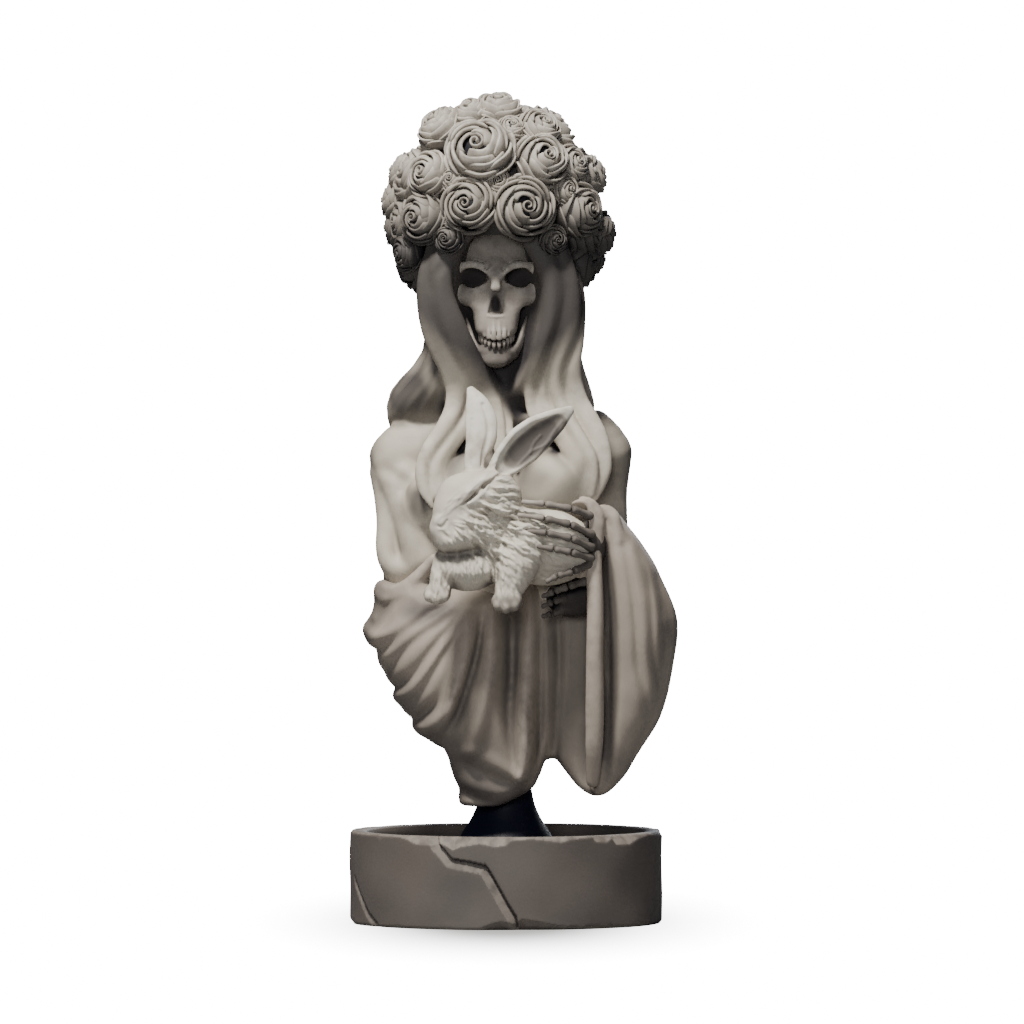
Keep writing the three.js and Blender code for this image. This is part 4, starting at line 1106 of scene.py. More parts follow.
@dataclass
class Figure:
    """Neck, chest, shoulders and upper arms, and the hair that falls over them.

    A lock is a list of places in the front drawing, column, row and y, with its half-sizes across and out.
    """

    trunk: list = table(
        (158, -12, 9, -7, 12), (151, -30, 28, -8.6, 14), (144, -33, 31, -12, 15), (134, -29, 28, -14, 16),
        (120, -27, 27, -16, 16), (108, -30, 33, -17, 17), (96, -34, 40, -18, 18),
    )
    mass: list = table(
        (207, -21, 16, -21, 22), (196, -24.4, 21, -22, 25), (184, -23.8, 21.4, -22, 25.5),
        (174, -22.6, 20.8, -21, 25), (167, -25, 21, -18.6, 24.5), (160, -31.5, 23.4, -14.4, 24),
        (154, -37, 26.2, -9.6, 23), (149, -34, 25, -5, 22.5), (134, -25, 20, 2, 21.5),
        (122, -17, 15, 8, 20.5), (112, -8, 7, 13, 19.5),
    )
    locks: list = table(
        ([(474, 222, -20), (458, 240, -20.6), (446, 257, -21.2), (441, 275, -21.6), (442, 297, -21.4),
          (450, 325, -20.8), (460, 350, -19.6), (473, 374, -18.4), (485, 396, -17.6), (494, 420, -17.6),
          (501, 456, -19)], [2.6, 2.9, 3, 3.1, 3.4, 4.2, 4.5, 4.3, 3.7, 2.9, 1.5],
         [1.8, 1.8, 1.9, 2, 2, 1.9, 1.8, 1.7, 1.5, 1.3, 0.9]),
        ([(440, 226, -16.6), (434, 252, -17.5), (427.5, 275, -18.6), (426.5, 300, -18.8), (431, 325, -18.8),
          (439, 347, -18.8), (449.5, 369, -18.6), (455.5, 389, -18.6), (454, 409, -19), (445, 429, -19.8),
          (432, 448, -20.6), (423.5, 468, -21.4), (424, 488, -22), (433, 508, -22.6)],
         [2.4, 2.4, 2.4, 2.5, 2.6, 2.7, 2.7, 2.7, 2.7, 2.7, 2.5, 2.2, 1.8, 0.7],
         [1.6, 1.7, 1.8, 1.8, 1.9, 1.9, 1.9, 1.9, 1.9, 1.9, 1.8, 1.7, 1.5, 0.6]),
        ([(468, 396, -16.4), (467, 412, -16.8), (460, 429, -17.4), (449, 445, -18.4), (440, 459, -19.4),
          (436, 474, -20.4), (438, 490, -21.4), (442, 504, -22)], [1.8, 2.4, 2.7, 2.8, 2.6, 2.2, 1.7, 0.7],
         [1.2, 1.5, 1.7, 1.8, 1.7, 1.5, 1.3, 0.6]),
        ([(520, 222, -20), (531, 240, -20.6), (542, 257, -21.2), (550, 275, -21.4), (553, 297, -21.2),
          (551, 322, -20.6), (543, 346, -19.6), (535, 368, -18.4), (531, 388, -17.6), (532, 408, -17.6),
          (538, 430, -18)], [2.6, 2.8, 3, 3, 3, 2.8, 2.4, 2, 1.8, 1.7, 1.3],
         [1.8, 1.8, 1.9, 2, 2, 1.9, 1.8, 1.7, 1.5, 1.3, 0.9]),
        ([(548, 228, -17.4), (556, 252, -18.2), (562, 275, -19), (564.5, 298, -19.2), (562, 322, -19),
          (555, 346, -18.6), (548, 366, -18), (544, 386, -17.6), (545, 404, -17.6), (551, 422, -18),
          (558, 436, -18.2)], [1.9, 1.9, 2, 2, 2, 2, 1.9, 1.9, 1.9, 1.8, 1.1],
         [1.5, 1.5, 1.6, 1.6, 1.6, 1.6, 1.5, 1.5, 1.5, 1.4, 1]),
        ([(562, 248, -15.4), (568, 268, -16.4), (572, 288, -17.2), (573, 308, -17.6), (570, 330, -17.8),
          (563.5, 349, -17.8), (558, 366, -17.8), (556.5, 385, -17.8), (560.5, 403, -18), (568.5, 422, -18.4),
          (578.5, 440, -18.8), (587, 456, -18.8), (591.5, 474, -18.6), (591, 497, -18.4)],
         [1.8, 1.9, 2, 2.1, 2.2, 2.3, 2.4, 2.5, 2.6, 2.7, 2.7, 2.5, 2, 0.8],
         [1.5, 1.5, 1.6, 1.7, 1.8, 1.8, 1.8, 1.8, 1.8, 1.8, 1.8, 1.8, 1.5, 0.6]),
        ([(574, 275, -12), (578, 298, -13.6), (577.5, 322, -15), (575, 344, -16), (571.5, 364, -16.4),
          (572.5, 384, -16.6), (578, 403, -16.8), (588, 420, -16.6), (597, 437, -16.2), (602, 454, -16),
          (603, 470, -16), (599, 486, -16.4), (595, 500, -16.8)],
         [1.8, 2, 2.2, 2.4, 2.6, 2.8, 3, 3, 2.8, 2.6, 2.3, 1.7, 0.7],
         [1.4, 1.5, 1.7, 1.8, 1.8, 1.8, 1.8, 1.8, 1.8, 1.7, 1.6, 1.3, 0.6]),
        ([(548, 420, -16.4), (558, 434, -17.2), (568, 448, -18), (576, 462, -18.4), (581, 478, -18.8),
          (584, 497, -19)], [1.4, 2.1, 2.3, 2.3, 1.9, 0.8], [1.1, 1.5, 1.7, 1.7, 1.4, 0.6]),
        ([(478, 352, -16), (490, 374, -15.6), (500, 394, -15.4), (507, 416, -15.6), (514, 456, -18)],
         [0.9, 1.2, 1.3, 1.3, 0.8], 1.1),
    )
    sheets: list = table(
        ([(468, 226, -18), (448, 250, -18.8), (436, 276, -19.2), (434, 305, -19.2), (440, 335, -18.4),
          (452, 362, -16.6), (463, 388, -15), (470, 412, -14.6)], [3.4, 4.4, 4.6, 4.6, 4.8, 4.6, 4, 2.6],
         [2, 2.4, 2.4, 2.4, 2.2, 2, 1.8, 1.2]),
        ([(528, 226, -18), (550, 250, -18.8), (561, 276, -19), (564, 305, -18.8), (558, 335, -18),
          (551, 362, -16.4), (549, 388, -15), (556, 412, -14.8)], [3.4, 4.4, 4.8, 4.8, 4.8, 4.8, 4.6, 3.4],
         [2, 2.4, 2.4, 2.4, 2.2, 2, 1.8, 1.4]),
        ([(556, 384, -15), (568, 410, -15.4), (582, 432, -15.6), (592, 455, -15.6), (594, 480, -15.8)],
         [3.6, 4.6, 4.6, 3.6, 1.8], [1.8, 2.2, 2.4, 2.2, 1.2]),
        ([(460, 392, -15), (457, 414, -15.8), (446, 434, -16.8), (434, 453, -18), (430, 474, -19.4),
          (433, 494, -20.4)], [2.8, 3.8, 4, 3.6, 2.8, 1.4], [1.6, 1.8, 2, 2, 1.8, 1]),
    )
    partings: list = table(
        [(463, 392), (463, 408), (459, 422), (446, 441), (433, 457), (428, 470), (430, 488)],
        [(434, 300), (438, 325), (447, 346), (459, 368), (468, 388)],
        [(566, 290), (565, 322), (558, 348), (551, 368), (549, 388), (553, 406), (562, 424), (573, 441),
         (582, 458), (585, 478)],
        [(559, 262), (560, 300), (558, 322), (550, 346), (542, 368), (537, 388), (538, 408)],
        [(577, 330), (572, 350), (565, 368), (564, 386), (569, 404), (578, 422), (588, 440), (595, 456)],
        [(446, 262), (433, 280), (433, 300)],
    )
    grooves: list = table(
        [(432, 330), (429, 350), (416, 374), (400, 396), (388, 412)],
        [(438, 352), (434, 374), (424, 396), (411, 416)], [(442, 368), (440, 386), (434, 404), (427, 419)],
        [(448, 384), (449, 400), (444, 416)], [(424, 300), (424, 325), (424, 345), (408, 372), (392, 392)],
        [(579, 340), (583, 364), (588, 386), (592, 408)], [(576, 352), (579, 374), (584, 396), (589, 412)],
    )
    niche: list = table(
        (-2.8, -27, 210), (-2.8, -27, 188), (-2.6, -25, 172), (-1, -22, 158),
    )

    def make(self) -> list[Piece]:
        """Builds the body and the hair on it, hollowed where the face stands, and lays the locks on that."""
        clay = Clay((-43, -28, 93), (40, 31, 212), cell=0.5, strength=1.35)
        self.body(clay)
        column = Column(self.mass, 3, ripples=[(14, 0.25, 2.2, 17, 0), (31, 0.15, 4, 15, 1)])
        clay.add(column, 1.2)
        clay.cut(Strand(self.niche, [12, 14.2, 11, 5], [14, 18.4, 16.4, 9], steps=16), 1)
        clay.add(Strand([(-2.4, -2, 180), (-1.8, -4.4, 166), (-1.2, -6, 152)], [5, 5.4, 7]), 3)
        clay.fold([Fold(line, [-0.3, -0.9, -0.9, -0.4], 1.9, 1.4) for line in self.grooves])
        for path, width, depth in self.sheets:
            clay.add(Strand(self.laid(path), width, depth, steps=20), 2.4)
        for path, width, _ in self.locks:
            reaches_chest, starts_low = path[-1][1] > 440, path[0][1] > 340
            if reaches_chest or starts_low:
                clay.add(Strand(self.laid(path[1:-1], 3), 0.8 * np.mean(width), 2, steps=20), 1)
        for path, width, depth in self.locks:
            clay.add(Strand(self.laid(path), list(1.12 * np.array(width)), depth, steps=30), 1.5)
        folds = [Fold(line, [-0.1, -0.7, -0.8, -0.7, -0.1], 1.9, 1.7) for line in self.partings]
        folds.append(Fold([(463, 424), (451, 442), (441, 458), (436, 474)], [0.2, 0.6, 0.6, 0.2], 1.8))
        clay.fold(folds)
        clay.smooth()
        for path, width, depth in self.fall(column):
            clay.add(Strand(path, width, depth, tuple(path[2] - np.array([-1.5, 2, path[2][2]])), 16), 1.4)
        # Painted shade over the hair and head under the crown.
        clay.paint_shade_in(Ball((-1.9, -4, 196), (38, 42, 37)), 0.92, 16)
        # Painted shade and painted shadow: gaps between the locks, the deeper locks, the ear's shadow on the
        # chest, the outer edges of both shoulders, the hair over the left shoulder and the hollow of the left
        # arm.
        clay.paint_shade((
            (515, 398, -8.6, (5.4, 6, 9), 0.95, 3), (500, 424, -9, (6, 6, 6), 0.8, 3),
            (452, 474, -14, (7, 7, 6), 0.85, 3), (448, 450, -17, (5, 5, 9), 0.5, 5),
            (571, 455, -17, (5, 5, 9), 0.45, 5), (528, 478, -21, (7.5, 8, 4), 0.5, 5),
            (365, 462, -2, (5, 10, 12), 0.45, 11), (610, 452, 3, (9, 14, 16), 0.4, 7),
            (418, 504, -14, (4, 8, 6), 0.75, 4), (404, 392, -4, (12, 14, 9), 0.85, 7),
        ))
        # Painted shade under the chin, on the neck.
        clay.paint_shade_in(Ball((-2.5, -8, 172), (10, 16, 14)), 0.9, 8)
        return [build(clay.skin(), "body_and_hair", FLESH_STONE.material(), Slot.BUST, most=160_000)]

    @staticmethod
    def laid(path: list, back: float = 0.0) -> list[Point]:
        """Places of a lock, which sinks back on the collarbones between the face and the chest."""
        sink, collarbones, reach = 3.6, 402, 34
        made = []
        for column, row, y in path:
            made.append(drawn(column, row, y + back + sink * math.exp(-(((row - collarbones) / reach) ** 2))))
        return made

    def body(self, clay: Clay) -> None:
        """Joins the trunk, the breasts, the arms and the collarbones softly."""
        clay.add(Column(self.trunk, 2.4))
        clay.add(Ball((15, -12.5, 131), (12, 9.5, 11.5)), 4)
        clay.add(Ball((-14, -12.5, 131), (11.5, 9.5, 11.5)), 4)
        left = [(-29, 1, 146.6), (-31.4, 1.4, 139.6), (-31.4, 1.4, 129), (-30.6, -1.4, 116), (-30, -4, 100)]
        clay.add(Strand(left, [5.2, 9.6, 7.6, 6.8, 6.6], [6, 10.4, 8.6, 7.6, 6.8]), 4)
        outer = [(379, 474, 0), (385, 495, -2.2), (388, 520, -5), (387.5, 545, -7), (391, 560, -8),
                 (400, 568, -9), (411, 565, -9.4), (421, 555, -9.4)]
        clay.add(Strand(through(outer), [2, 3, 3.4, 3.6, 3.8, 3.8, 3.4, 2], steps=24), 3.2)
        inner = [(384, 466, -4), (391, 482, -6.6), (398, 499, -8.4), (406, 518, -9.8), (414, 538, -10.6),
                 (423, 556, -10.8)]
        clay.add(Strand(through(inner), [2, 2.8, 3.4, 4.4, 5.6, 6], [2, 2.8, 3.2, 4, 4.8, 5], steps=20), 3.2)
        right = [(26.6, 1.6, 148.6), (28.6, 2, 141), (28.8, 3, 129), (30.4, 1, 113), (32.4, -4, 100)]
        clay.lumps((
            (418, 500, -11.6, (4.4, 6, 7), 4), (430, 512, -13, (4, 6, 6), 3), (405, 476, -7.5, (4, 4, 4), 3),
        ))
        clay.add(Strand(right, [5.4, 9.2, 7.6, 6.4, 6.6], [6, 10, 8.4, 7.2, 7]), 5)
        clay.fold([
            Fold([(377, 470), (388, 472), (400, 477), (411, 482), (420, 481)], [-0.2, -0.6, -0.8, -0.5, -0.1],
                 3, 1.6),
            Fold([(386, 486), (393, 503), (398, 522), (398.5, 540), (398, 556), (403, 563)],
                 [-0.2, -0.5, -0.9, -1, -0.8, -0.3], [2, 3, 3.6, 3.6, 3, 2]),
            Fold([(403, 484), (411, 493), (421, 508), (428, 524)], [-0.2, -0.9, -1, -0.4], [3, 4.6, 5, 3.4]),
            Fold([(590, 430), (582, 452), (584, 474), (590, 492)], [-0.4, -1.2, -1.2, -0.4], 2.6),
        ])
        for s in (-1, 1):
            collarbone = [(-1 + 3 * s, -9.6, 151.5), (-1 + 10 * s, -10, 152.4), (-1 + 18 * s, -6.4, 152)]
            clay.add(Strand(collarbone, [1.2, 1.3, 0.8]), 2.5)

    def fall(self, column: Column) -> list[tuple]:
        """Locks down the back and the sides, each swaying to and fro on the mass."""
        made = []
        for i, turn in enumerate(np.linspace(2, 178, 24)):
            rng = np.random.default_rng(200 + i)
            outer = abs(turn - 90) / 78
            sway, start, drop = rng.uniform(3, 6), rng.uniform(0, 6.3), rng.uniform(-9, 4)
            path = []
            for k, z in enumerate((205, 186, 168, 150, 134, 120)):
                swung = turn + sway * math.sin(1.7 * k + start)
                path.append(column.place(swung, z + (20 * outer + drop) * (k / 5) ** 2, -0.6))
            width = np.array([2, 2.6, 2.6, 2.7, 2.2, 0.5]) * rng.uniform(0.75, 1.15)
            made.append((path, list(width), [1.4, 1.8, 1.9, 1.9, 1.5, 0.4]))
        return made


# Shawl


@dataclass
class Shawl:
    """Two hanging masses of cloth, the folds that run down them, and swags across the back.

    A fold is a line of the front drawing with its half-size and how far it rises or sinks.
    """

    trunk: list = table(
        (112, -30, 30, -13, 17), (104, -33, 36, -17, 20), (88, -37, 42, -19, 22), (76, -34, 41, -19, 21),
        (62, -26, 33, -17, 17), (54, -18, 24, -15, 12), (50, -8, 20, -12, 6),
    )
    left: list = table(
        (104, -35, -10, -14, 6), (101.5, -38.8, -4, -18.5, 8), (99, -39.4, 2, -20.5, 11),
        (94.5, -39.8, 6, -22.5, 14), (89.3, -42.2, 8.6, -24, 16), (86, -41.6, 8.8, -24.6, 16),
        (79.7, -37.6, 9.2, -25.4, 15), (75.5, -35.2, 9.4, -25.6, 14), (69.5, -33, 9.6, -25.2, 13),
        (65.6, -31, 10, -24.8, 12), (62, -28.8, 10.4, -24.4, 10), (58.4, -26.6, 11, -23.6, 8),
        (54.2, -19.4, 12, -22.4, 6), (49.7, -17, 11.6, -21.6, 4), (45, -15.6, 10.6, -20.8, 2),
        (40, -14.6, 7, -19, 0), (36, -14, -2, -16, -4),
    )
    right: list = table(
        (125, 26.6, 33, -31, -20), (120, 26.6, 36.5, -32.6, -8), (116.3, 26.6, 39.6, -33, -2),
        (108.5, 26.6, 44.7, -33.4, 5), (98.3, 26.6, 48.6, -33.4, 11), (91, 26.6, 50.4, -33, 14),
        (86, 26.6, 50.2, -32.6, 14), (78.5, 26.6, 48.6, -31.6, 13), (70, 26.6, 47.6, -31, 11.6),
        (61.4, 26.2, 44.7, -29.6, 8), (54.5, 25.8, 40.7, -27.6, 4), (49.4, 25.6, 38.1, -25.6, 1),
        (45.5, 25.4, 36.4, -24.4, -3), (42.5, 25.2, 33.6, -23.4, -8), (39, 25.2, 30, -22.4, -13),
    )
    between: list = table(
        (112, 10, 30, -15, 10), (60, 12.6, 30, -15, 6), (51, 14, 30, -15, 2), (46.6, 17.2, 30, -15.4, 0),
        (41.5, 21.2, 30, -16, -6), (38.6, 24.8, 30, -16, -8),
    )
    ridges: list = table(
        ([(421, 600), (408, 597), (396, 612), (385, 626), (374, 633), (367, 632)], [1.4, 2, 2.4, 2.4, 2.2, 2],
         1.2),
        ([(440, 604), (425, 606), (412, 617), (398, 628), (384, 636), (376, 641), (370, 643)],
         [1.2, 1.8, 2.4, 2.6, 2.4, 2.2, 2], 1.2),
        ([(460, 602), (436, 617), (416, 628), (398, 641), (388, 653), (382, 660)],
         [1.2, 2.2, 2.6, 2.6, 2.4, 2.2], 1.4),
        ([(466, 606), (450, 622), (435, 634), (417, 651), (402, 668), (392, 677)], [1, 1.6, 2, 2.2, 2.2, 1.6],
         1),
        ([(466, 614), (455, 628), (440, 644), (428, 660), (415, 678), (403, 691), (395, 697)],
         [1, 1.6, 2, 2.2, 2.4, 2.4, 2], 1.7),
        ([(466, 622), (460, 648), (454, 676), (448, 698), (443, 714), (431, 724), (421, 728), (414, 726)],
         [1.2, 1.8, 2.2, 2.4, 2.6, 2.8, 2.6, 1.8], 1.9),
        ([(471, 614), (469, 640), (465, 669), (458, 691), (449, 714)], [1.2, 1.6, 1.7, 1.7, 1.3], 2),
        ([(493, 610), (492, 640), (490, 669), (485, 698), (478, 726), (470, 750)],
         [1.4, 1.8, 2, 2.2, 2.6, 2.4], 2.6),
        ([(530, 590), (529, 655), (527, 698), (526, 740), (524, 764), (520, 780)],
         [1.8, 2.1, 2.2, 2.2, 2, 1.6], 3.6),
        ([(545, 640), (546.5, 698), (545, 740), (540, 764)], [1.2, 1.4, 1.4, 1], 0.9),
        ([(552, 632), (555, 684), (553.5, 726), (549, 756)], [1.1, 1.3, 1.3, 1], 0.8),
        ([(452, 753), (469, 752), (484, 757), (498, 765), (510, 773), (518, 778)],
         [1.4, 1.8, 1.8, 1.7, 1.5, 1.2], 0.8),
        ([(450, 765), (463, 779), (478, 789), (492, 795), (506, 795), (520, 789)],
         [1.4, 1.7, 1.8, 1.8, 1.6, 1.2], 0.8),
        ([(455, 806), (470, 803), (486, 805), (506, 802), (524, 795), (535, 785)],
         [1.4, 1.6, 1.6, 1.6, 1.5, 1.2], 0.8),
    )
    valleys: list = table(
        ([(372, 584), (380, 591), (389, 594), (402, 589)], 1.3, 0.9),
        ([(404, 598), (392, 606), (384, 618), (377, 626), (368, 624)], [1.4, 2, 2.4, 2, 1.4], 1.8),
        ([(450, 604), (435, 611), (418, 622), (399, 636), (386, 646), (375, 649)],
         [0.9, 1.3, 1.5, 1.6, 1.6, 1.4], 1.5),
        ([(455, 612), (440, 624), (424, 634), (406, 650), (390, 668)], [0.7, 1, 1.1, 1.2, 1], 0.8),
        ([(461, 616), (452, 627), (441, 639), (429, 655), (415, 673), (403, 685), (396, 687)],
         [0.8, 1.1, 1.4, 1.6, 1.8, 1.8, 1.6], 2.1),
        ([(461, 628), (455, 640), (446, 654), (435, 670), (426, 684), (415, 701)], [0.7, 1, 1.2, 1.2, 1.2, 1],
         0.9),
        ([(459, 636), (453, 662), (446, 684), (440, 700), (430, 711), (421, 719), (412, 721)],
         [0.8, 1.2, 1.6, 2.2, 2.4, 2.2, 1.6], [0.8, 1.2, 1.6, 2.2, 2.4, 2.2, 1.6]),
        ([(483, 608), (479, 640), (474, 662), (467, 684), (459, 709), (450, 730), (443, 741)],
         [0.9, 1.2, 1.5, 1.7, 1.8, 1.7, 1.4], [1.6, 2.4, 2.7, 2.8, 2.6, 1.8, 1]),
        ([(511, 600), (511, 640), (510, 669), (508, 700), (508, 720), (510, 742), (514, 764)],
         [1.9, 2.4, 2.6, 2.6, 2.2, 1.8, 0.8], [3, 3.4, 3.4, 3, 2.4, 1.8, 0.8]),
        ([(540, 620), (541, 660), (541, 700), (540, 740), (536, 766)], 0.9, 1.6),
        ([(549, 620), (550, 660), (551, 700), (549, 740), (544, 764)], 0.8, 1),
        ([(557, 612), (558, 660), (557, 700), (555, 735), (553, 752)], [2, 1.8, 1.4, 1, 0.6],
         [4, 3, 2.4, 1.8, 1]),
        ([(463, 762), (477, 770), (490, 777), (502, 781), (511, 781)], [1.2, 1.9, 2.4, 2.2, 1.4],
         [0.6, 1.2, 1.7, 1.5, 0.8]),
        ([(455, 784), (468, 795), (484, 800), (500, 800)], [1.2, 1.4, 1.4, 1], 1.1),
        ([(602, 530), (605, 565), (608, 606), (608.5, 656), (610, 706), (608, 757), (604, 785)],
         [1, 1.6, 2, 2.2, 2.1, 1.8, 1], [0.6, 1.4, 2, 2.2, 2, 1.4, 0.6]),
        ([(618, 520), (626, 556), (633, 598), (636, 632), (638, 665), (643, 690), (646, 716)],
         [0.6, 0.7, 0.8, 0.9, 1.2, 1.4, 1], [0.9, 1.1, 1.4, 1.5, 1.4, 1.2, 0.6]),
        ([(637, 548), (647, 582), (651, 623), (652, 657), (657, 687)], [0.5, 0.7, 0.9, 1, 0.8],
         [0.6, 1, 1.2, 1.2, 0.7]), ([(655, 577), (660, 604), (662, 630), (663, 658)], 0.7, 0.7),
    )
    right_ridges: list = table(
        ([(594, 520, -31), (595, 560, -32.4), (597, 606, -33), (596.6, 656, -32.6), (596, 706, -31),
          (595, 745, -28.4), (592.5, 782, -24.4)], [2.2, 2.8, 3.2, 3.3, 3.3, 3, 2],
         [2, 2.4, 2.6, 2.6, 2.6, 2.4, 1.8]),
        ([(582, 500, -31), (592, 505, -33), (598.4, 520, -33.8), (600, 545, -33)], [1.2, 1.6, 1.8, 1.4], 1.4),
        ([(572, 504, -33), (581, 502, -34), (589, 506, -35), (591.6, 520, -34.6), (592, 544, -33.6)],
         [0.7, 0.9, 1, 1, 0.8], 1),
        ([(597, 511, -30), (606, 511, -31), (614, 519, -31.6), (620, 540, -31.4)], [1.4, 1.8, 2, 1.4], 2),
    )

    def make(self) -> list[Piece]:
        """Builds the cloth: masses joined, folds laid on and pressed in, and the whole evened out."""
        clay = Clay((-48, -38, 31), (55, 28, 132), cell=0.5, strength=1.9)
        trunk, left = Column(self.trunk, 2.2), Column(self.left, 2.3, blur=1.5)
        between, right = Column(self.between, 3, blur=1), Column(self.right, 2.5, blur=1.6)
        for part, soft in ((trunk, 1), (left, 3), (between, 1.5), (right, 0.8)):
            clay.add(part, soft)
        clay.cut(Ball(drawn(398, 556, -12), (8.4, 8, 8.4)), 2)
        hem = [(378, 588, -8.6), (382, 591.5, -11.4), (390, 594, -14), (401, 591, -15.4), (412, 583, -16.2),
               (424, 571, -17), (434, 559, -18.4)]
        clay.add(Strand(through(hem), [1.4, 2, 2.2, 2.2, 2.2, 2, 1.6], steps=18), 3)
        for path, width, depth in self.right_ridges:
            clay.add(Strand(through(path), width, depth, steps=24), 1.6)
        clay.smooth()
        folds = []
        for line, width, rise in self.ridges:
            folds.append(Fold(line, [0.6 * rise, *[rise] * 4], list(1.7 * np.array(width))))
        for line, width, sink in self.valleys:
            depths = -1.05 * spread(sink, 7) * (0.4, 0.9, 1, 1, 1, 0.9, 0.6)
            folds.append(Fold(line, list(depths), list(1.5 * np.atleast_1d(width)), 1.7))
        clay.fold(folds, even=3)
        self.behind(clay, trunk, left, right)
        clay.smooth()
        # Painted shade: the lower left of the cloth is darkened.
        clay.paint_shade_in(Ball((-26, -14, 44), (22, 24, 20)), 0.9, 24)
        # Painted shade and painted shadow in the cloth's valleys, under the paw and the arm, and on the right
        # band and recess; the row with amount -1 paints a highlight on the top of the right mass by the
        # wrist.
        clay.paint_shade((
            (362, 612, -6, (6, 14, 14), 0.9, 8), (376, 592, -10, (5, 10, 5), 0.6, 5),
            (392, 700, -12, (8, 14, 12), 0.6, 8), (432, 611, -20, (9, 9, 4), 0.95, 5),
            (510, 622, -22, (5, 9, 6), 0.5, 5), (612, 534, -31, (7, 7, 8), -1, 5),
            (489, 789, -18, (10, 9, 2), 0.8, 3), (600, 770, -24, (10, 10, 8), 0.5, 6),
            (596, 660, -32, (3.4, 5, 26), 0.4, 5), (558, 665, -18, (6, 12, 26), 0.5, 5),
        ))
        return [build(clay.skin(), "shawl", CLOTH_STONE.material(), Slot.BUST, most=145_000)]

    @staticmethod
    def behind(clay: Clay, trunk: Column, left: Column, right: Column) -> None:
        """Folds down the right mass's hidden side, and swags across the back from one mass to the other."""
        foot = 46
        for turn, top, size in ((-24, 110, 3.8), (0, 108, 4), (24, 105, 4), (48, 103, 3.8)):
            path = []
            for k, t in enumerate((0, 0.25, 0.5, 0.75, 1)):
                path.append(right.place(turn - 2 * k, top + (foot - top) * t, -1 - 2 * (2 * t - 1) ** 4))
            facing = path[2] - np.array([34, -8, path[2][2]])
            width = [share * size for share in (0.3, 0.8, 1, 0.8, 0.3)]
            depth = [share * size for share in (0.2, 0.5, 0.62, 0.5, 0.2)]
            clay.add(Strand(path, width, depth, tuple(facing), 20), 2.4)
        for left_z, right_z, drop in ((101, 108, 9), (89, 97, 12), (78, 84, 13), (68.5, 71, 12),
                                      (58.5, 60, 8)):
            path = []
            for turn in (4, 30, 60, 90, 120, 150, 186):
                share = (1 + math.cos(math.radians(turn))) / 2
                sag = drop * math.sin(math.radians(min(turn, 180))) ** 1.4
                path.append(trunk.place(turn, left_z + (right_z - left_z) * share - sag, 0.4))
            path[-1] = left.place(186, left_z, -1.2)
            low = left_z - 0.45 * drop
            path[-2] = 0.5 * (trunk.place(150, low, 0.6) + left.place(158, low, -1))
            deep = 1.3 + 0.05 * drop + 0.5 * math.sin(left_z)
            depth = [0.8 * deep, *[deep] * 5, 0.8 * deep]
            clay.add(Strand(path, [2, 3.4, 3.8, 3.8, 3.4, 3, 1.8], depth, BACK, 28), 3)


# Rabbit


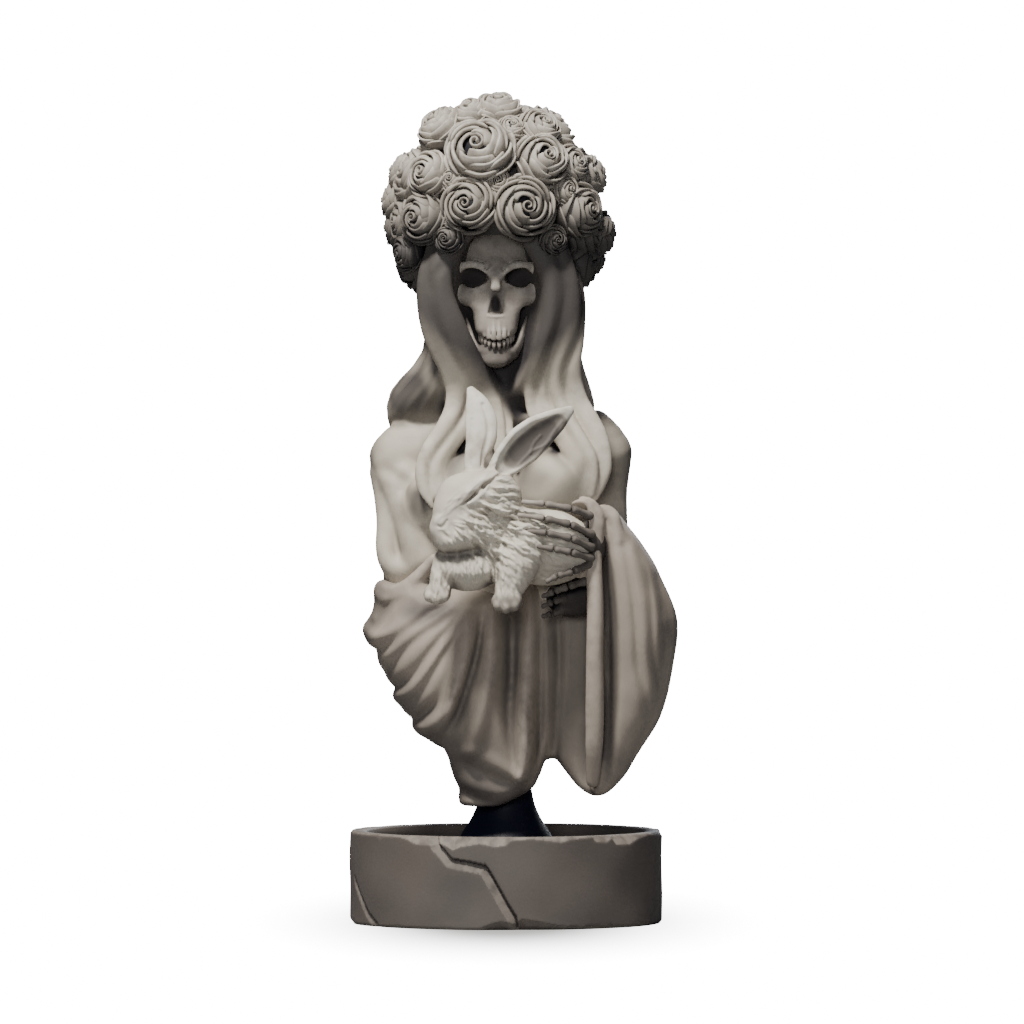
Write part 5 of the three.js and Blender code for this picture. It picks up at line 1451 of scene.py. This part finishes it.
@dataclass
class Rabbit:
    """A long-eared rabbit lying in the hands, its head turned to the left and its fur in tufts.

    The coat is a list of places in the front drawing with the way that the fur runs there.
    """

    near_ear: list = table(
        (493, 476, -36), (507, 462, -36), (523.5, 446, -35), (539, 433, -33.4), (557, 420.6, -31),
        (571.5, 410, -28),
    )
    far_ear: list = table(
        (474, 474, -36), (475, 458, -35.4), (481, 440, -34.6), (481, 420, -33.4), (476.5, 403, -32.2),
        (470, 389, -31),
    )
    coat: list = table(
        (470, 512, 1, 0.55), (486, 500, 1, 0.25), (502, 492, 1, 0.1), (486, 520, 1, 0.5), (505, 508, 1, 0.35),
        (516, 500, 1, 0.3), (500, 528, 1, 0.55), (470, 528, 0.7, 0.7), (455, 534, 0.3, 1),
        (520, 525, 1, 0.15), (540, 535, 1, 0.1), (560, 545, 1, 0.15), (520, 548, 1, 0.5),
        (540, 560, 0.8, 0.7), (515, 572, 0.3, 1), (500, 585, -0.1, 1), (525, 580, 0.2, 1), (560, 570, 1, 0.2),
        (455, 562, -0.2, 1), (475, 562, 0.1, 1), (490, 560, 0.3, 1), (440, 578, -0.1, 1), (470, 582, 0.1, 1),
        (505, 478, 1, -0.1), (545, 580, 1, 0.3),
    )
    bare: list = table(
        (430, 530), (428, 470), (490, 462), (508, 470), (480, 484), (462, 504), (452, 520), (440, 530),
    )

    def make(self) -> list[Piece]:
        """Builds the rabbit: rounded masses joined, eye and ears shaped, and tufts laid over the coat."""
        clay = Clay((-28, -52, 92), (30, -18, 165), cell=0.32)
        self.head(clay)
        self.trunk(clay)
        self.ears(clay)
        self.fur(clay)
        self.face(clay)
        # Painted shade in the hollow of the near ear.
        for column, row, y in ((512, 458, -33.6), (521, 450, -33.6), (531, 442, -33), (541, 434, -32),
                               (552, 427, -30.4)):
            clay.paint_shade_in(Ball(drawn(column, row, y - 0.6), (5.6, 3.2, 4.8)), 0.9, 1.4)
        # Painted shade under the jaw, on the chest below it and under the paws.
        clay.paint_shade((
            (437, 594, -40, (7, 8, 6), 0.45, 4), (452, 548, -40, (12, 9, 3), 0.35, 4),
            (507, 605, -43, (6.5, 9, 4.2), 0.75, 3), (464, 555, -38, (10, 9, 1.6), 0.4, 3),
        ))
        return [build(clay.skin(), "rabbit", FUR_STONE.material(), Slot.BUST, most=140_000)]

    def head(self, clay: Clay) -> None:
        """Braincase, long nose, cheek, whisker pad and jaw."""
        clay.lumps((
            (487, 497, -35.4, (10.4, 8.6, 8.2), 1), (498, 511, -35.4, (7.2, 7.4, 6.8), 2),
            (463, 500, -38.6, (8.2, 6.6, 7.8), 3, (0, -28, 0)), (451, 513, -41, (5.4, 4.8, 6), 2),
            (460, 527, -41.4, (7.2, 4.8, 5.2), 2, (0, 12, 0)),
            (457, 539, -39.4, (7.6, 7.4, 4.6), 2, (0, -4, 0)), (476, 532, -37, (8, 8, 6), 2),
            (443, 529, -41.6, (4, 4.2, 4.2), 1.6), (440.5, 521.5, -44, (1.9, 1.6, 1.6), 1.2),
        ))

    def trunk(self, clay: Clay) -> None:
        """Neck, chest, back, front legs and paws."""
        clay.lumps((
            (492, 546, -34, (10, 8, 8), 2), (468, 569, -36.8, (9.6, 7.8, 6.8), 1.5),
            (545, 548, -30.6, (15, 9.6, 11.4), 3),
        ))
        clay.add(Strand(through([(524, 536, -35), (519, 562, -39), (509, 590, -41)]), [8, 6.4, 4.2]), 2)
        clay.add(Ball(drawn(507, 602, -42.6), (4.7, 4.7, 3.4)))
        clay.add(Strand(through([(448, 562, -36), (441, 582, -38.6)]), [4.4, 3.4]), 1.5)
        clay.add(Ball(drawn(437.5, 594, -40.4), (4.1, 4.3, 3.2)))
        toes = (
            (498, 606, -45.6), (506, 608.5, -46), (514.5, 606, -45.2), (429.5, 597, -43), (436.5, 600, -43.6),
            (444, 597, -43.2),
        )
        clay.lumps([(*toe, (1.5, 2, 1.7), 0.7) for toe in toes])

    def ears(self, clay: Clay) -> None:
        """The near ear, hollowed with a rim and a vein, and the far one seen from its side."""
        facing = (0.2, -1, -0.15)
        width, depth = [2.6, 4.9, 6.1, 5.5, 3.6, 1.3], [2.2, 2.2, 2, 1.8, 1.4, 0.6]
        clay.add(Strand(through(self.near_ear), width, depth, facing, 24), 1)
        inner = [(column + 1.6, row + 1.2, y - 1.9) for column, row, y in self.near_ear]
        width, depth = [0.8, 3.9, 5.2, 4.7, 2.7, 0.2], [0.8, 1.9, 2.2, 2, 1.4, 0.3]
        clay.cut(Strand(through(inner), width, depth, facing, 24), 0.4)
        clay.ridge([(518, 466), (532, 452), (545, 446), (553, 434), (562, 422)], 0.35, 0.25, 0.4)
        clay.ridge([(530, 454), (534, 444), (541, 436)], 0.3, 0.2, 0.4)
        width, depth = [2.9, 3.1, 4.7, 4.8, 3.4, 1.1], [2, 1.9, 1.8, 1.6, 1.3, 0.5]
        clay.add(Strand(through(self.far_ear), width, depth, (0.1, -1, 0), 24), 1)
        clay.valley([(483, 405), (488, 420), (488.5, 436), (484, 452), (482, 466)], [0.6, 0.8, 0.8, 0.7, 0.4],
                    0.5, 0.5)
        clay.valley([(470, 466), (469, 452), (472, 436), (472, 420)], [0.4, 0.5, 0.5, 0.3], 0.3, 0.6)

    def fur(self, clay: Clay) -> None:
        """Tufts over the coat, from a jittered grid, each along the ways of the fur that are nearest."""
        rng = np.random.default_rng(7)
        coat = np.array(self.coat)
        bare = np.array(self.bare)
        folds = []
        for column, row in product(np.arange(432, 580, 4.8), np.arange(474, 598, 3.6)):
            at = np.array([column, row]) + rng.uniform(-2.4, 2.4, 2)
            draws = rng.uniform(0, 1, 6)
            if self.within(at, bare):
                continue
            line = [at]
            length = 13 + 12 * draws[0]
            for k in range(4):
                near = 1 / (((coat[:, :2] - line[-1]) ** 2).sum(axis=1) + 30)
                way = (near[:, None] * coat[:, 2:]).sum(axis=0)
                way = way / np.linalg.norm(way)
                bend = 0.4 * math.sin(2.1 * k + 6 * draws[1])
                way = way + bend * np.array([-way[1], way[0]])
                line.append(line[-1] + length / 4 * way)
            places, _, gap = clay.touch(np.array(line))
            jump = np.abs(np.diff(places[:, 1])).max()
            if gap[:4].max() > 0 or gap[4] > 0.6 or jump > 2 or places[0, 1] > -24:
                continue
            size = 0.75 + 0.35 * draws[2]
            near_bare = np.sqrt(((bare - at) ** 2).sum(axis=1)).min()
            cheek = float(np.clip(1.3 - np.hypot((at[0] - 490) / 50, (at[1] - 512) / 36), 0, 0.6))
            way = (1 if draws[3] < 0.7 else -0.6) * min(0.35 + near_bare / 26, 1)
            way = way * (0.45 + cheek) * float(at[1] < 590)
            rise = [share * way for share in (0, 0.4, 0.55, 0.6, 0.3)]
            folds.append(Fold(line, rise, [0.6 * size, size, size, 0.8 * size, 0.5], 1.5))
        clay.fold(folds, 3, 0)

    @staticmethod
    def within(at: Array, outline: Array) -> bool:
        """Whether a point lies in an outline, by how often a line from it to the right crosses the edge."""
        (ax, ay), (bx, by) = outline.T, np.roll(outline, -1, axis=0).T
        spans = (ay > at[1]) != (by > at[1])
        across = ax + (at[1] - ay) / np.where(by == ay, 1, by - ay) * (bx - ax)
        return bool((spans & (at[0] < across)).sum() % 2)

    def face(self, clay: Clay) -> None:
        """The slanted eye under its brow, the nostril and the mouth, and the fur of cheek, chest and brow."""
        clay.valley([(462, 505), (470, 498.5), (478, 489), (487, 483.4), (496, 477.6), (502, 473)],
                    [0.4, 0.9, 1.3, 1, 0.8, 0.4], [0.4, 1.2, 1.7, 0.9, 0.5, 0.2], 0.4)
        eye, _, _ = clay.touch(np.array([[479.4, 492]]))
        clay.add(Ball(tuple(eye[0] + (0, -0.3, 0)), (1.35, 1.1, 1.2)), 0.15)
        brow = [(458, 503), (467, 494), (477, 483.5), (488, 477.6), (500, 470)]
        clay.fold([Fold(brow, [0.2, 0.9, 1, 0.9, 0.3], 2.2)], 3)
        clay.ridge([(468, 505), (477, 499.5), (484, 493), (489, 486)], [0.3, 0.6, 0.6, 0.3], 0.4, 0.4)
        clay.valley([(438, 526.5), (441.5, 528), (445, 525.5), (447.5, 521)], [0.3, 0.5, 0.6, 0.3], 0.45, 0.4)
        clay.valley([(441, 532), (448, 538), (458, 541)], [0.3, 0.5, 0.3], 0.3, 0.8)
        tufts = []
        for k in range(12):
            turn = math.radians(6 + 8.5 * k)
            start = np.array([447 + 0.8 * k, 522 + 0.6 * k])
            way = np.array([math.cos(turn), math.sin(turn)])
            bend = np.array([-way[1], way[0]]) * 2 * math.sin(2.3 * k)
            line = [start + 5 * way, start + 12 * way + bend, start + 20 * way]
            tufts.append(Fold(line, [0.1, 0.45, 0.3], [0.4, 0.75, 0.5], 1.5))
        for k in range(11):
            at = np.array([455 + 3.9 * k, 577 - 0.06 * (k - 5) ** 2])
            tufts.append(Fold([at - (1.5, 9), at - (0.6, 3), at + (0, 3)], [0.1, 0.6, 0.5], [0.5, 0.8, 0.35],
                              1.5))
        for k in range(28):
            at = np.array([452 + 8.5 * (k % 6) - 3 * (k // 6), 511 + 5.5 * (k // 6) - 6.5 * (k % 6) - 14])
            bend = (1.2 * math.sin(2.1 * k), 1.2 * math.cos(1.7 * k))
            tufts.append(Fold([at + (5, -4), at + bend, at + (-5, 5)], [0.05, 0.26, 0.1], [0.4, 0.8, 0.4],
                              1.5))
        clay.fold(tufts, 3, 0)


# Hands


@dataclass
class Hands:
    """Bony fingers round the rabbit, each bone thick at its ends. A finger is a list of its joints."""

    fingers: list = table(
        [(592, 517, -34.5), (571.5, 509.5, -40), (545, 504.5, -41.8), (521, 502.5, -41.4)],
        [(593, 536, -35), (570.5, 525, -41.2), (545, 519, -42.8), (517, 515.5, -42)],
        [(593, 549, -35), (571.5, 538.5, -41.4), (547, 533.6, -43), (519, 531, -42.4)],
        [(593, 559, -34.5), (571, 552.6, -41), (554, 549.6, -42.4), (529, 545.6, -42.2)],
        [(592, 563, -33), (573, 572, -38.8), (557, 576.5, -40.2), (545, 583, -39.8)],
        [(588, 581, -28), (568, 587, -30), (554, 592, -31), (541, 597.5, -30)],
        [(587, 592, -26), (567, 598, -28), (553, 602, -29), (541, 607.5, -28)],
        [(580, 606, -24), (564, 611, -26), (552, 614, -27), (541, 617, -26)],
    )
    sizes: tuple = (1.45, 1.25, 1.1, 0.75)

    def make(self) -> list[Piece]:
        """Builds the hands: bones end to end, and the two palms."""
        clay = Clay((1, -48, 88), (33, -14, 131), cell=0.27)
        for joints in self.fingers:
            for k in range(3):
                a, b = (np.array(drawn(*joint)) for joint in joints[k : k + 2])
                big, small = self.sizes[k], self.sizes[k + 1]
                inset = (b - a) / np.linalg.norm(b - a)
                shape = np.array([0.94, 1, 0.88, 0.78, 0.76, 0.78, 0.88, 1, 0.94])
                width = shape * np.linspace(big, small, 9)
                ends = [a + (0.5 * big + 0.08) * inset, b - (0.5 * small + 0.08) * inset]
                clay.add(Strand(ends, list(width), steps=12, tip=0.5), 0.1)
        clay.add(Ball((26, -29, 116), (4.5, 6, 8)), 1.5)
        clay.add(Ball((20, -22, 98.6), (8, 6.5, 6)), 1.5)
        # Painted shade over the hands, and a little more on the lower palm.
        clay.paint_shade_in(Ball((20, -30, 108), (24, 24, 26)), 0.72, 8)
        clay.paint_shade_in(Ball((18, -24, 97), (14, 14, 8)), 0.2, 8)
        return [build(clay.skin(), "hands", BONE_STONE.material(), Slot.BUST, most=62_000)]


# Tray and post


@dataclass
class Stand:
    """The round tray, its rim and foot chipped and its wall cracked, and the flared post in it.

    Cracks are lines of the front drawing. Chips are rows of column, how far down from the rim or up from the
    foot they reach, in millimetres.
    """

    radius: float = 47.1
    height: float = 27.8
    inner: float = 41.6
    floor: float = 12.0
    cracks: list = table(
        ([(434, 835), (438, 844), (444, 850.5), (451, 859), (470, 862.5), (485, 866), (489, 871),
          (497.5, 886), (508.8, 906), (516, 917), (518, 926)], 1.25, 2.9),
        ([(355, 880), (357, 886), (362.5, 900), (367.5, 912.5), (376, 924)], 0.9, 2.2),
    )
    rim_chips: list = table(
        (355, 0.6), (369, 0.7), (400, 0.6), (407, 1.2), (414, 2.4), (430, 2.7), (439, 2), (446, 2.8),
        (453, 4), (460, 3.1), (479, 2), (494, 2.9), (505, 2.6), (511, 1.1), (531, 0.6), (548, 1.2),
        (561, 1.8), (570, 0.95), (592, 0.4), (595, 1.7), (607, 2.1), (612, 1), (616, 2.8), (629, 3),
        (639, 1.4), (650, 0.6),
    )
    foot_chips: list = table(
        (355, 0.7), (470, 0.5), (480, 0.6), (492, 2), (500, 2.6), (509, 2.3), (515, 1.8), (522, 3.4),
        (539, 2.6), (560, 1.2), (588, 0.6), (655, 0.7),
    )
    post: list = table(
        (24, 15.6), (20, 17.8), (17.5, 20), (13.2, 27), (10.2, 32), (8.3, 37), (7.2, 45), (6.6, 56),
    )

    def reach(self, chips: list, angle: Array, seed: int) -> Array:
        """How far the chips reach at each angle: as listed in front, and drawn at random behind."""
        rng = np.random.default_rng(seed)
        listed = np.array(chips)
        seen = np.arcsin(np.clip((listed[:, 0] - MIDDLE) * SQUARE / self.radius, -1, 1))
        count, round_it = 46, 2 * np.pi
        turns = np.linspace(1.7, round_it - 1.7, count) + rng.uniform(-0.03, 0.03, count)
        hidden = 0.5 + 2 * rng.uniform(0, 1, count) ** 2
        knots = np.concatenate([seen, turns]) % round_it
        values = np.concatenate([listed[:, 1], hidden])
        order = np.argsort(knots)
        return np.interp(angle % round_it, knots[order], values[order], period=round_it)

    def crack(self, line: list, deep: float, wide: float, along: Array, height: Array) -> tuple[Array, Array]:
        """A crack on the unrolled wall: a steep drop on its right side and a broad slope up on its left.

        Args:
            line: the crack in the front drawing.
            deep: how deep it is.
            wide: how broad its slope is.
            along: the distance round the wall of each place.
            height: the height of each place.

        Returns:
            How far in each place lies, and the part of that on the edge that is painted dark as its shadow.
        """
        x = np.array([(column - MIDDLE) * SQUARE for column, _ in line])
        turn = np.arcsin(np.clip(x / self.radius, -1, 1))
        y = -self.radius * np.cos(turn)
        s = self.radius * turn
        z = np.array([(GROUND - row) * SQUARE for _, row in line]) - TILT * y
        near, side = np.full(along.shape, FAR), np.zeros(along.shape)
        for k in range(len(s) - 1):
            leg = np.array([s[k + 1] - s[k], z[k + 1] - z[k]])
            rel = along - s[k], height - z[k]
            t = np.clip((rel[0] * leg[0] + rel[1] * leg[1]) / (leg @ leg), 0, 1)
            away = np.hypot(rel[0] - t * leg[0], rel[1] - t * leg[1])
            turned = np.sign(leg[0] * rel[1] - leg[1] * rel[0])
            closer = away < near
            near, side = np.where(closer, away, near), np.where(closer, turned, side)
        steep, dark_edge = 0.4, 0.32
        slope = np.where(side < 0, 1 - near / wide, 1 - near / steep)
        dark = np.clip(1 - near / dark_edge, 0, 1)
        return deep * np.clip(slope, 0, 1) + 0.5 * dark, dark

    def tray(self) -> Skin:
        """The tray as rings round a profile: underside, outer wall, rim, inner wall and floor."""
        angle = np.linspace(0, 2 * np.pi, 960, endpoint=False)[None]
        up = self.height * np.linspace(0, 1, 84)[:, None]
        along = self.radius * ((angle + np.pi) % (2 * np.pi) - np.pi)
        rim, foot = self.reach(self.rim_chips, angle, 3), self.reach(self.foot_chips, angle, 5)
        chip_rim = 0.75 * np.clip(up - (self.height - rim), 0, None)
        chip_foot = 0.8 * np.clip(foot - up, 0, None)
        wave = 0.12 * np.sin(5 * angle + 0.3 * up) + 0.1 * np.sin(11 * angle - 0.21 * up)
        inset = 0.25 + wave + chip_rim + chip_foot
        # Chipped places are paler, a painted highlight.
        relief = -0.7 * (chip_rim > 0.05) - 0.35 * ((chip_foot > 0.05) & (up > 0.4 * foot))
        for line, deep, wide in self.cracks:
            found, dark = self.crack(line, deep, wide, along + 0 * up, up + 0 * angle)
            inset = inset + found
            # In a crack the steep edge is painted dark as its shadow and the broad slope paler as a painted
            # highlight.
            relief = np.where(found > 0.05, np.where(dark > 0, 1, -0.55), relief)
        outer = self.radius - np.maximum(inset, 0)
        profile = [(outer, up, relief)]
        lip = outer[-1:]
        # The rim's top is paler, a painted highlight; the inner wall grows darker with depth and the floor is
        # dark.
        for share, down, crest_highlight in ((0.3, 0, -0.4), (0.6, 0, -0.4), (0.85, 0.15, -0.4), (1, 0.6, 0)):
            profile.append((lip + (self.inner - lip) * share, self.height - down, crest_highlight))
        for depth in (2.5, 6, 10, 14, 15.4):
            profile.append((self.inner - 0.05 * depth, self.height - depth, min(1, depth / 7)))
        for radius in (39.5, 32, 20, 8):
            profile.append((radius, self.floor, 1))
        radii, heights, hollow = (np.concatenate([part[k] + 0 * angle for part in profile]) for k in range(3))
        rings = np.stack([radii * np.sin(angle), -radii * np.cos(angle), heights], axis=-1)
        return rings_to_skin(rings, np.array([0, 0, 0.0]), np.array([0, 0, self.floor]), hollow)

    def stem(self) -> Skin:
        """The post as rings round its profile, from the disc in the tray to its top inside the bust."""
        disc = [(40.4, 12.3), (41.0, 12.9), (41.0, 14.6), (40.4, 15.2), (30, 15.3)]
        profile = np.concatenate([disc, curve(self.post, 60)])
        angle = np.linspace(0, 2 * np.pi, 128, endpoint=False)[None]
        radii, heights = profile[:, :1], profile[:, 1:]
        rings = np.stack([radii * np.sin(angle), -radii * np.cos(angle), heights + 0 * angle], axis=-1)
        return rings_to_skin(rings, np.array([0, 0, 12.3]), np.array([0, 0, self.post[-1][1]]))

    def make(self) -> list[tuple[Piece, str]]:
        """Builds the tray and the post, each with the node that it stands for."""
        tray = build(self.tray(), "tray", TRAY_STONE.material(), Slot.TRAY, most=100_000)
        stem = build(self.stem(), "post", POST_PAINT.material(), Slot.POST, most=10_000)
        return [(tray, "base_tray"), (stem, "support_post")]


# Studio


@dataclass
class Studio:
    """A pale floor, soft lights and the camera."""

    lens: float = 1400.0
    tall: float = 0.3072
    target: Point = (0.0018, 0.0, 0.1233)
    elevation: float = 2.3

    def camera(self) -> None:
        """A long lens a little above the bust, looking at the middle of the picture."""
        data = bpy.data.cameras.new("camera")
        data.lens = self.lens
        camera = bpy.data.objects.new("camera", data)
        away = self.lens / data.sensor_width * self.tall
        rise = math.radians(self.elevation)
        back = Vector((0, -math.cos(rise), math.sin(rise)))
        camera.location = Vector(self.target) + away * back
        camera.rotation_euler = (-back).to_track_quat("-Z", "Y").to_euler()
        data.clip_start, data.clip_end = 0.1, 60
        bpy.context.collection.objects.link(camera)
        bpy.context.scene.camera = camera

    def floor(self) -> None:
        """A wide pale floor that shows the camera a glow of its own, dimmed round the middle as a painted
        soft shadow under the tray, so that only a soft shadow shows on it.
        """
        mesh = bpy.data.meshes.new("floor")
        half = 30.0
        corners = [(-half, -half, 0), (half, -half, 0), (half, half, 0), (-half, half, 0)]
        mesh.from_pydata(corners, [], [(0, 1, 2, 3)])
        material = bpy.data.materials.new("floor")
        material.use_nodes = True
        nodes, links = material.node_tree.nodes, material.node_tree.links
        nodes.clear()
        kinds = ("BsdfDiffuse", "Emission", "LightPath", "AddShader", "OutputMaterial", "TexCoord",
                 "MapRange", "Math")
        matt, glow, path, both, output, place, painted_floor_shadow, seen = (nodes.new("ShaderNode" + kind) for kind in kinds)
        matt.inputs["Color"].default_value = (0.2, 0.2, 0.2, 1)
        away, shape = (nodes.new("ShaderNodeVectorMath") for _ in range(2))
        away.operation, shape.operation, seen.operation = "LENGTH", "MULTIPLY", "MULTIPLY"
        shape.inputs[1].default_value = (1.0, 0.3, 1.0)
        # Painted shadow: the glow fades towards the middle, in an ellipse longer from front to back.
        painted_floor_shadow.interpolation_type = "SMOOTHSTEP"
        for socket, value in (("From Min", 0.016), ("From Max", 0.1), ("To Min", 0.45), ("To Max", 20)):
            painted_floor_shadow.inputs[socket].default_value = value
        for source, socket in (
            (place.outputs["Object"], shape.inputs[0]), (shape.outputs[0], away.inputs[0]),
            (away.outputs["Value"], painted_floor_shadow.inputs["Value"]), (path.outputs["Is Camera Ray"], seen.inputs[0]),
            (painted_floor_shadow.outputs["Result"], seen.inputs[1]), (seen.outputs[0], glow.inputs["Strength"]),
            (matt.outputs["BSDF"], both.inputs[0]), (glow.outputs["Emission"], both.inputs[1]),
            (both.outputs["Shader"], output.inputs["Surface"]),
        ):
            links.new(source, socket)
        mesh.materials.append(material)
        floor = bpy.data.objects.new("floor", mesh)
        bpy.context.collection.objects.link(floor)

    def sky(self) -> None:
        """A dim cool light from all round, and white where the camera looks past the floor."""
        world = bpy.data.worlds.new("sky")
        bpy.context.scene.world = world
        world.use_nodes = True
        nodes, links = world.node_tree.nodes, world.node_tree.links
        back, white = nodes["Background"], nodes.new("ShaderNodeBackground")
        for node, colour, strength in ((back, (0.6, 0.68, 1.0, 1), 0.05), (white, (1, 1, 1, 1), 20)):
            node.inputs["Color"].default_value = colour
            node.inputs["Strength"].default_value = strength
        path, mix = nodes.new("ShaderNodeLightPath"), nodes.new("ShaderNodeMixShader")
        for source, socket in (
            (path.outputs["Is Camera Ray"], mix.inputs["Fac"]), (back.outputs["Background"], mix.inputs[1]),
            (white.outputs["Background"], mix.inputs[2]),
            (mix.outputs["Shader"], nodes["World Output"].inputs["Surface"]),
        ):
            links.new(source, socket)

    def lamp(self, name: str, at: Point, size: float, power: float, color: Point) -> None:
        """A square soft light at a place, turned to the bust."""
        data = bpy.data.lights.new(name, "AREA")
        data.size, data.energy, data.color = size, power, color
        lamp = bpy.data.objects.new(name, data)
        lamp.location = at
        lamp.rotation_euler = (Vector((0, 0, 0.13)) - Vector(at)).to_track_quat("-Z", "Y").to_euler()
        bpy.context.collection.objects.link(lamp)

    def make(self) -> None:
        """Sets out the camera, the floor and the lights."""
        self.camera()
        self.floor()
        self.sky()
        self.lamp("key", (-0.2, -0.42, 0.95), size=0.14, power=15.5, color=(1.0, 0.95, 0.87))
        self.lamp("front", (-0.12, -1.22, 0.34), size=0.3, power=3.8, color=(0.98, 0.97, 0.95))
        self.lamp("back", (0.3, 1.2, 0.5), size=0.5, power=5, color=(0.9, 0.94, 1.0))


def main() -> None:
    """Builds the bust in order, and the studio round it."""
    logging.basicConfig(level=logging.INFO, format="%(message)s")
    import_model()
    Studio().make()
    for piece, node in Stand().make():
        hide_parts(node)
    for assembly in (Crown(), Skull(), Figure(), Shawl(), Rabbit(), Hands()):
        for piece in assembly.make():
            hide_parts("bust")
        LOG.info("%s done", type(assembly).__name__)


if __name__ == "__main__":
    main()
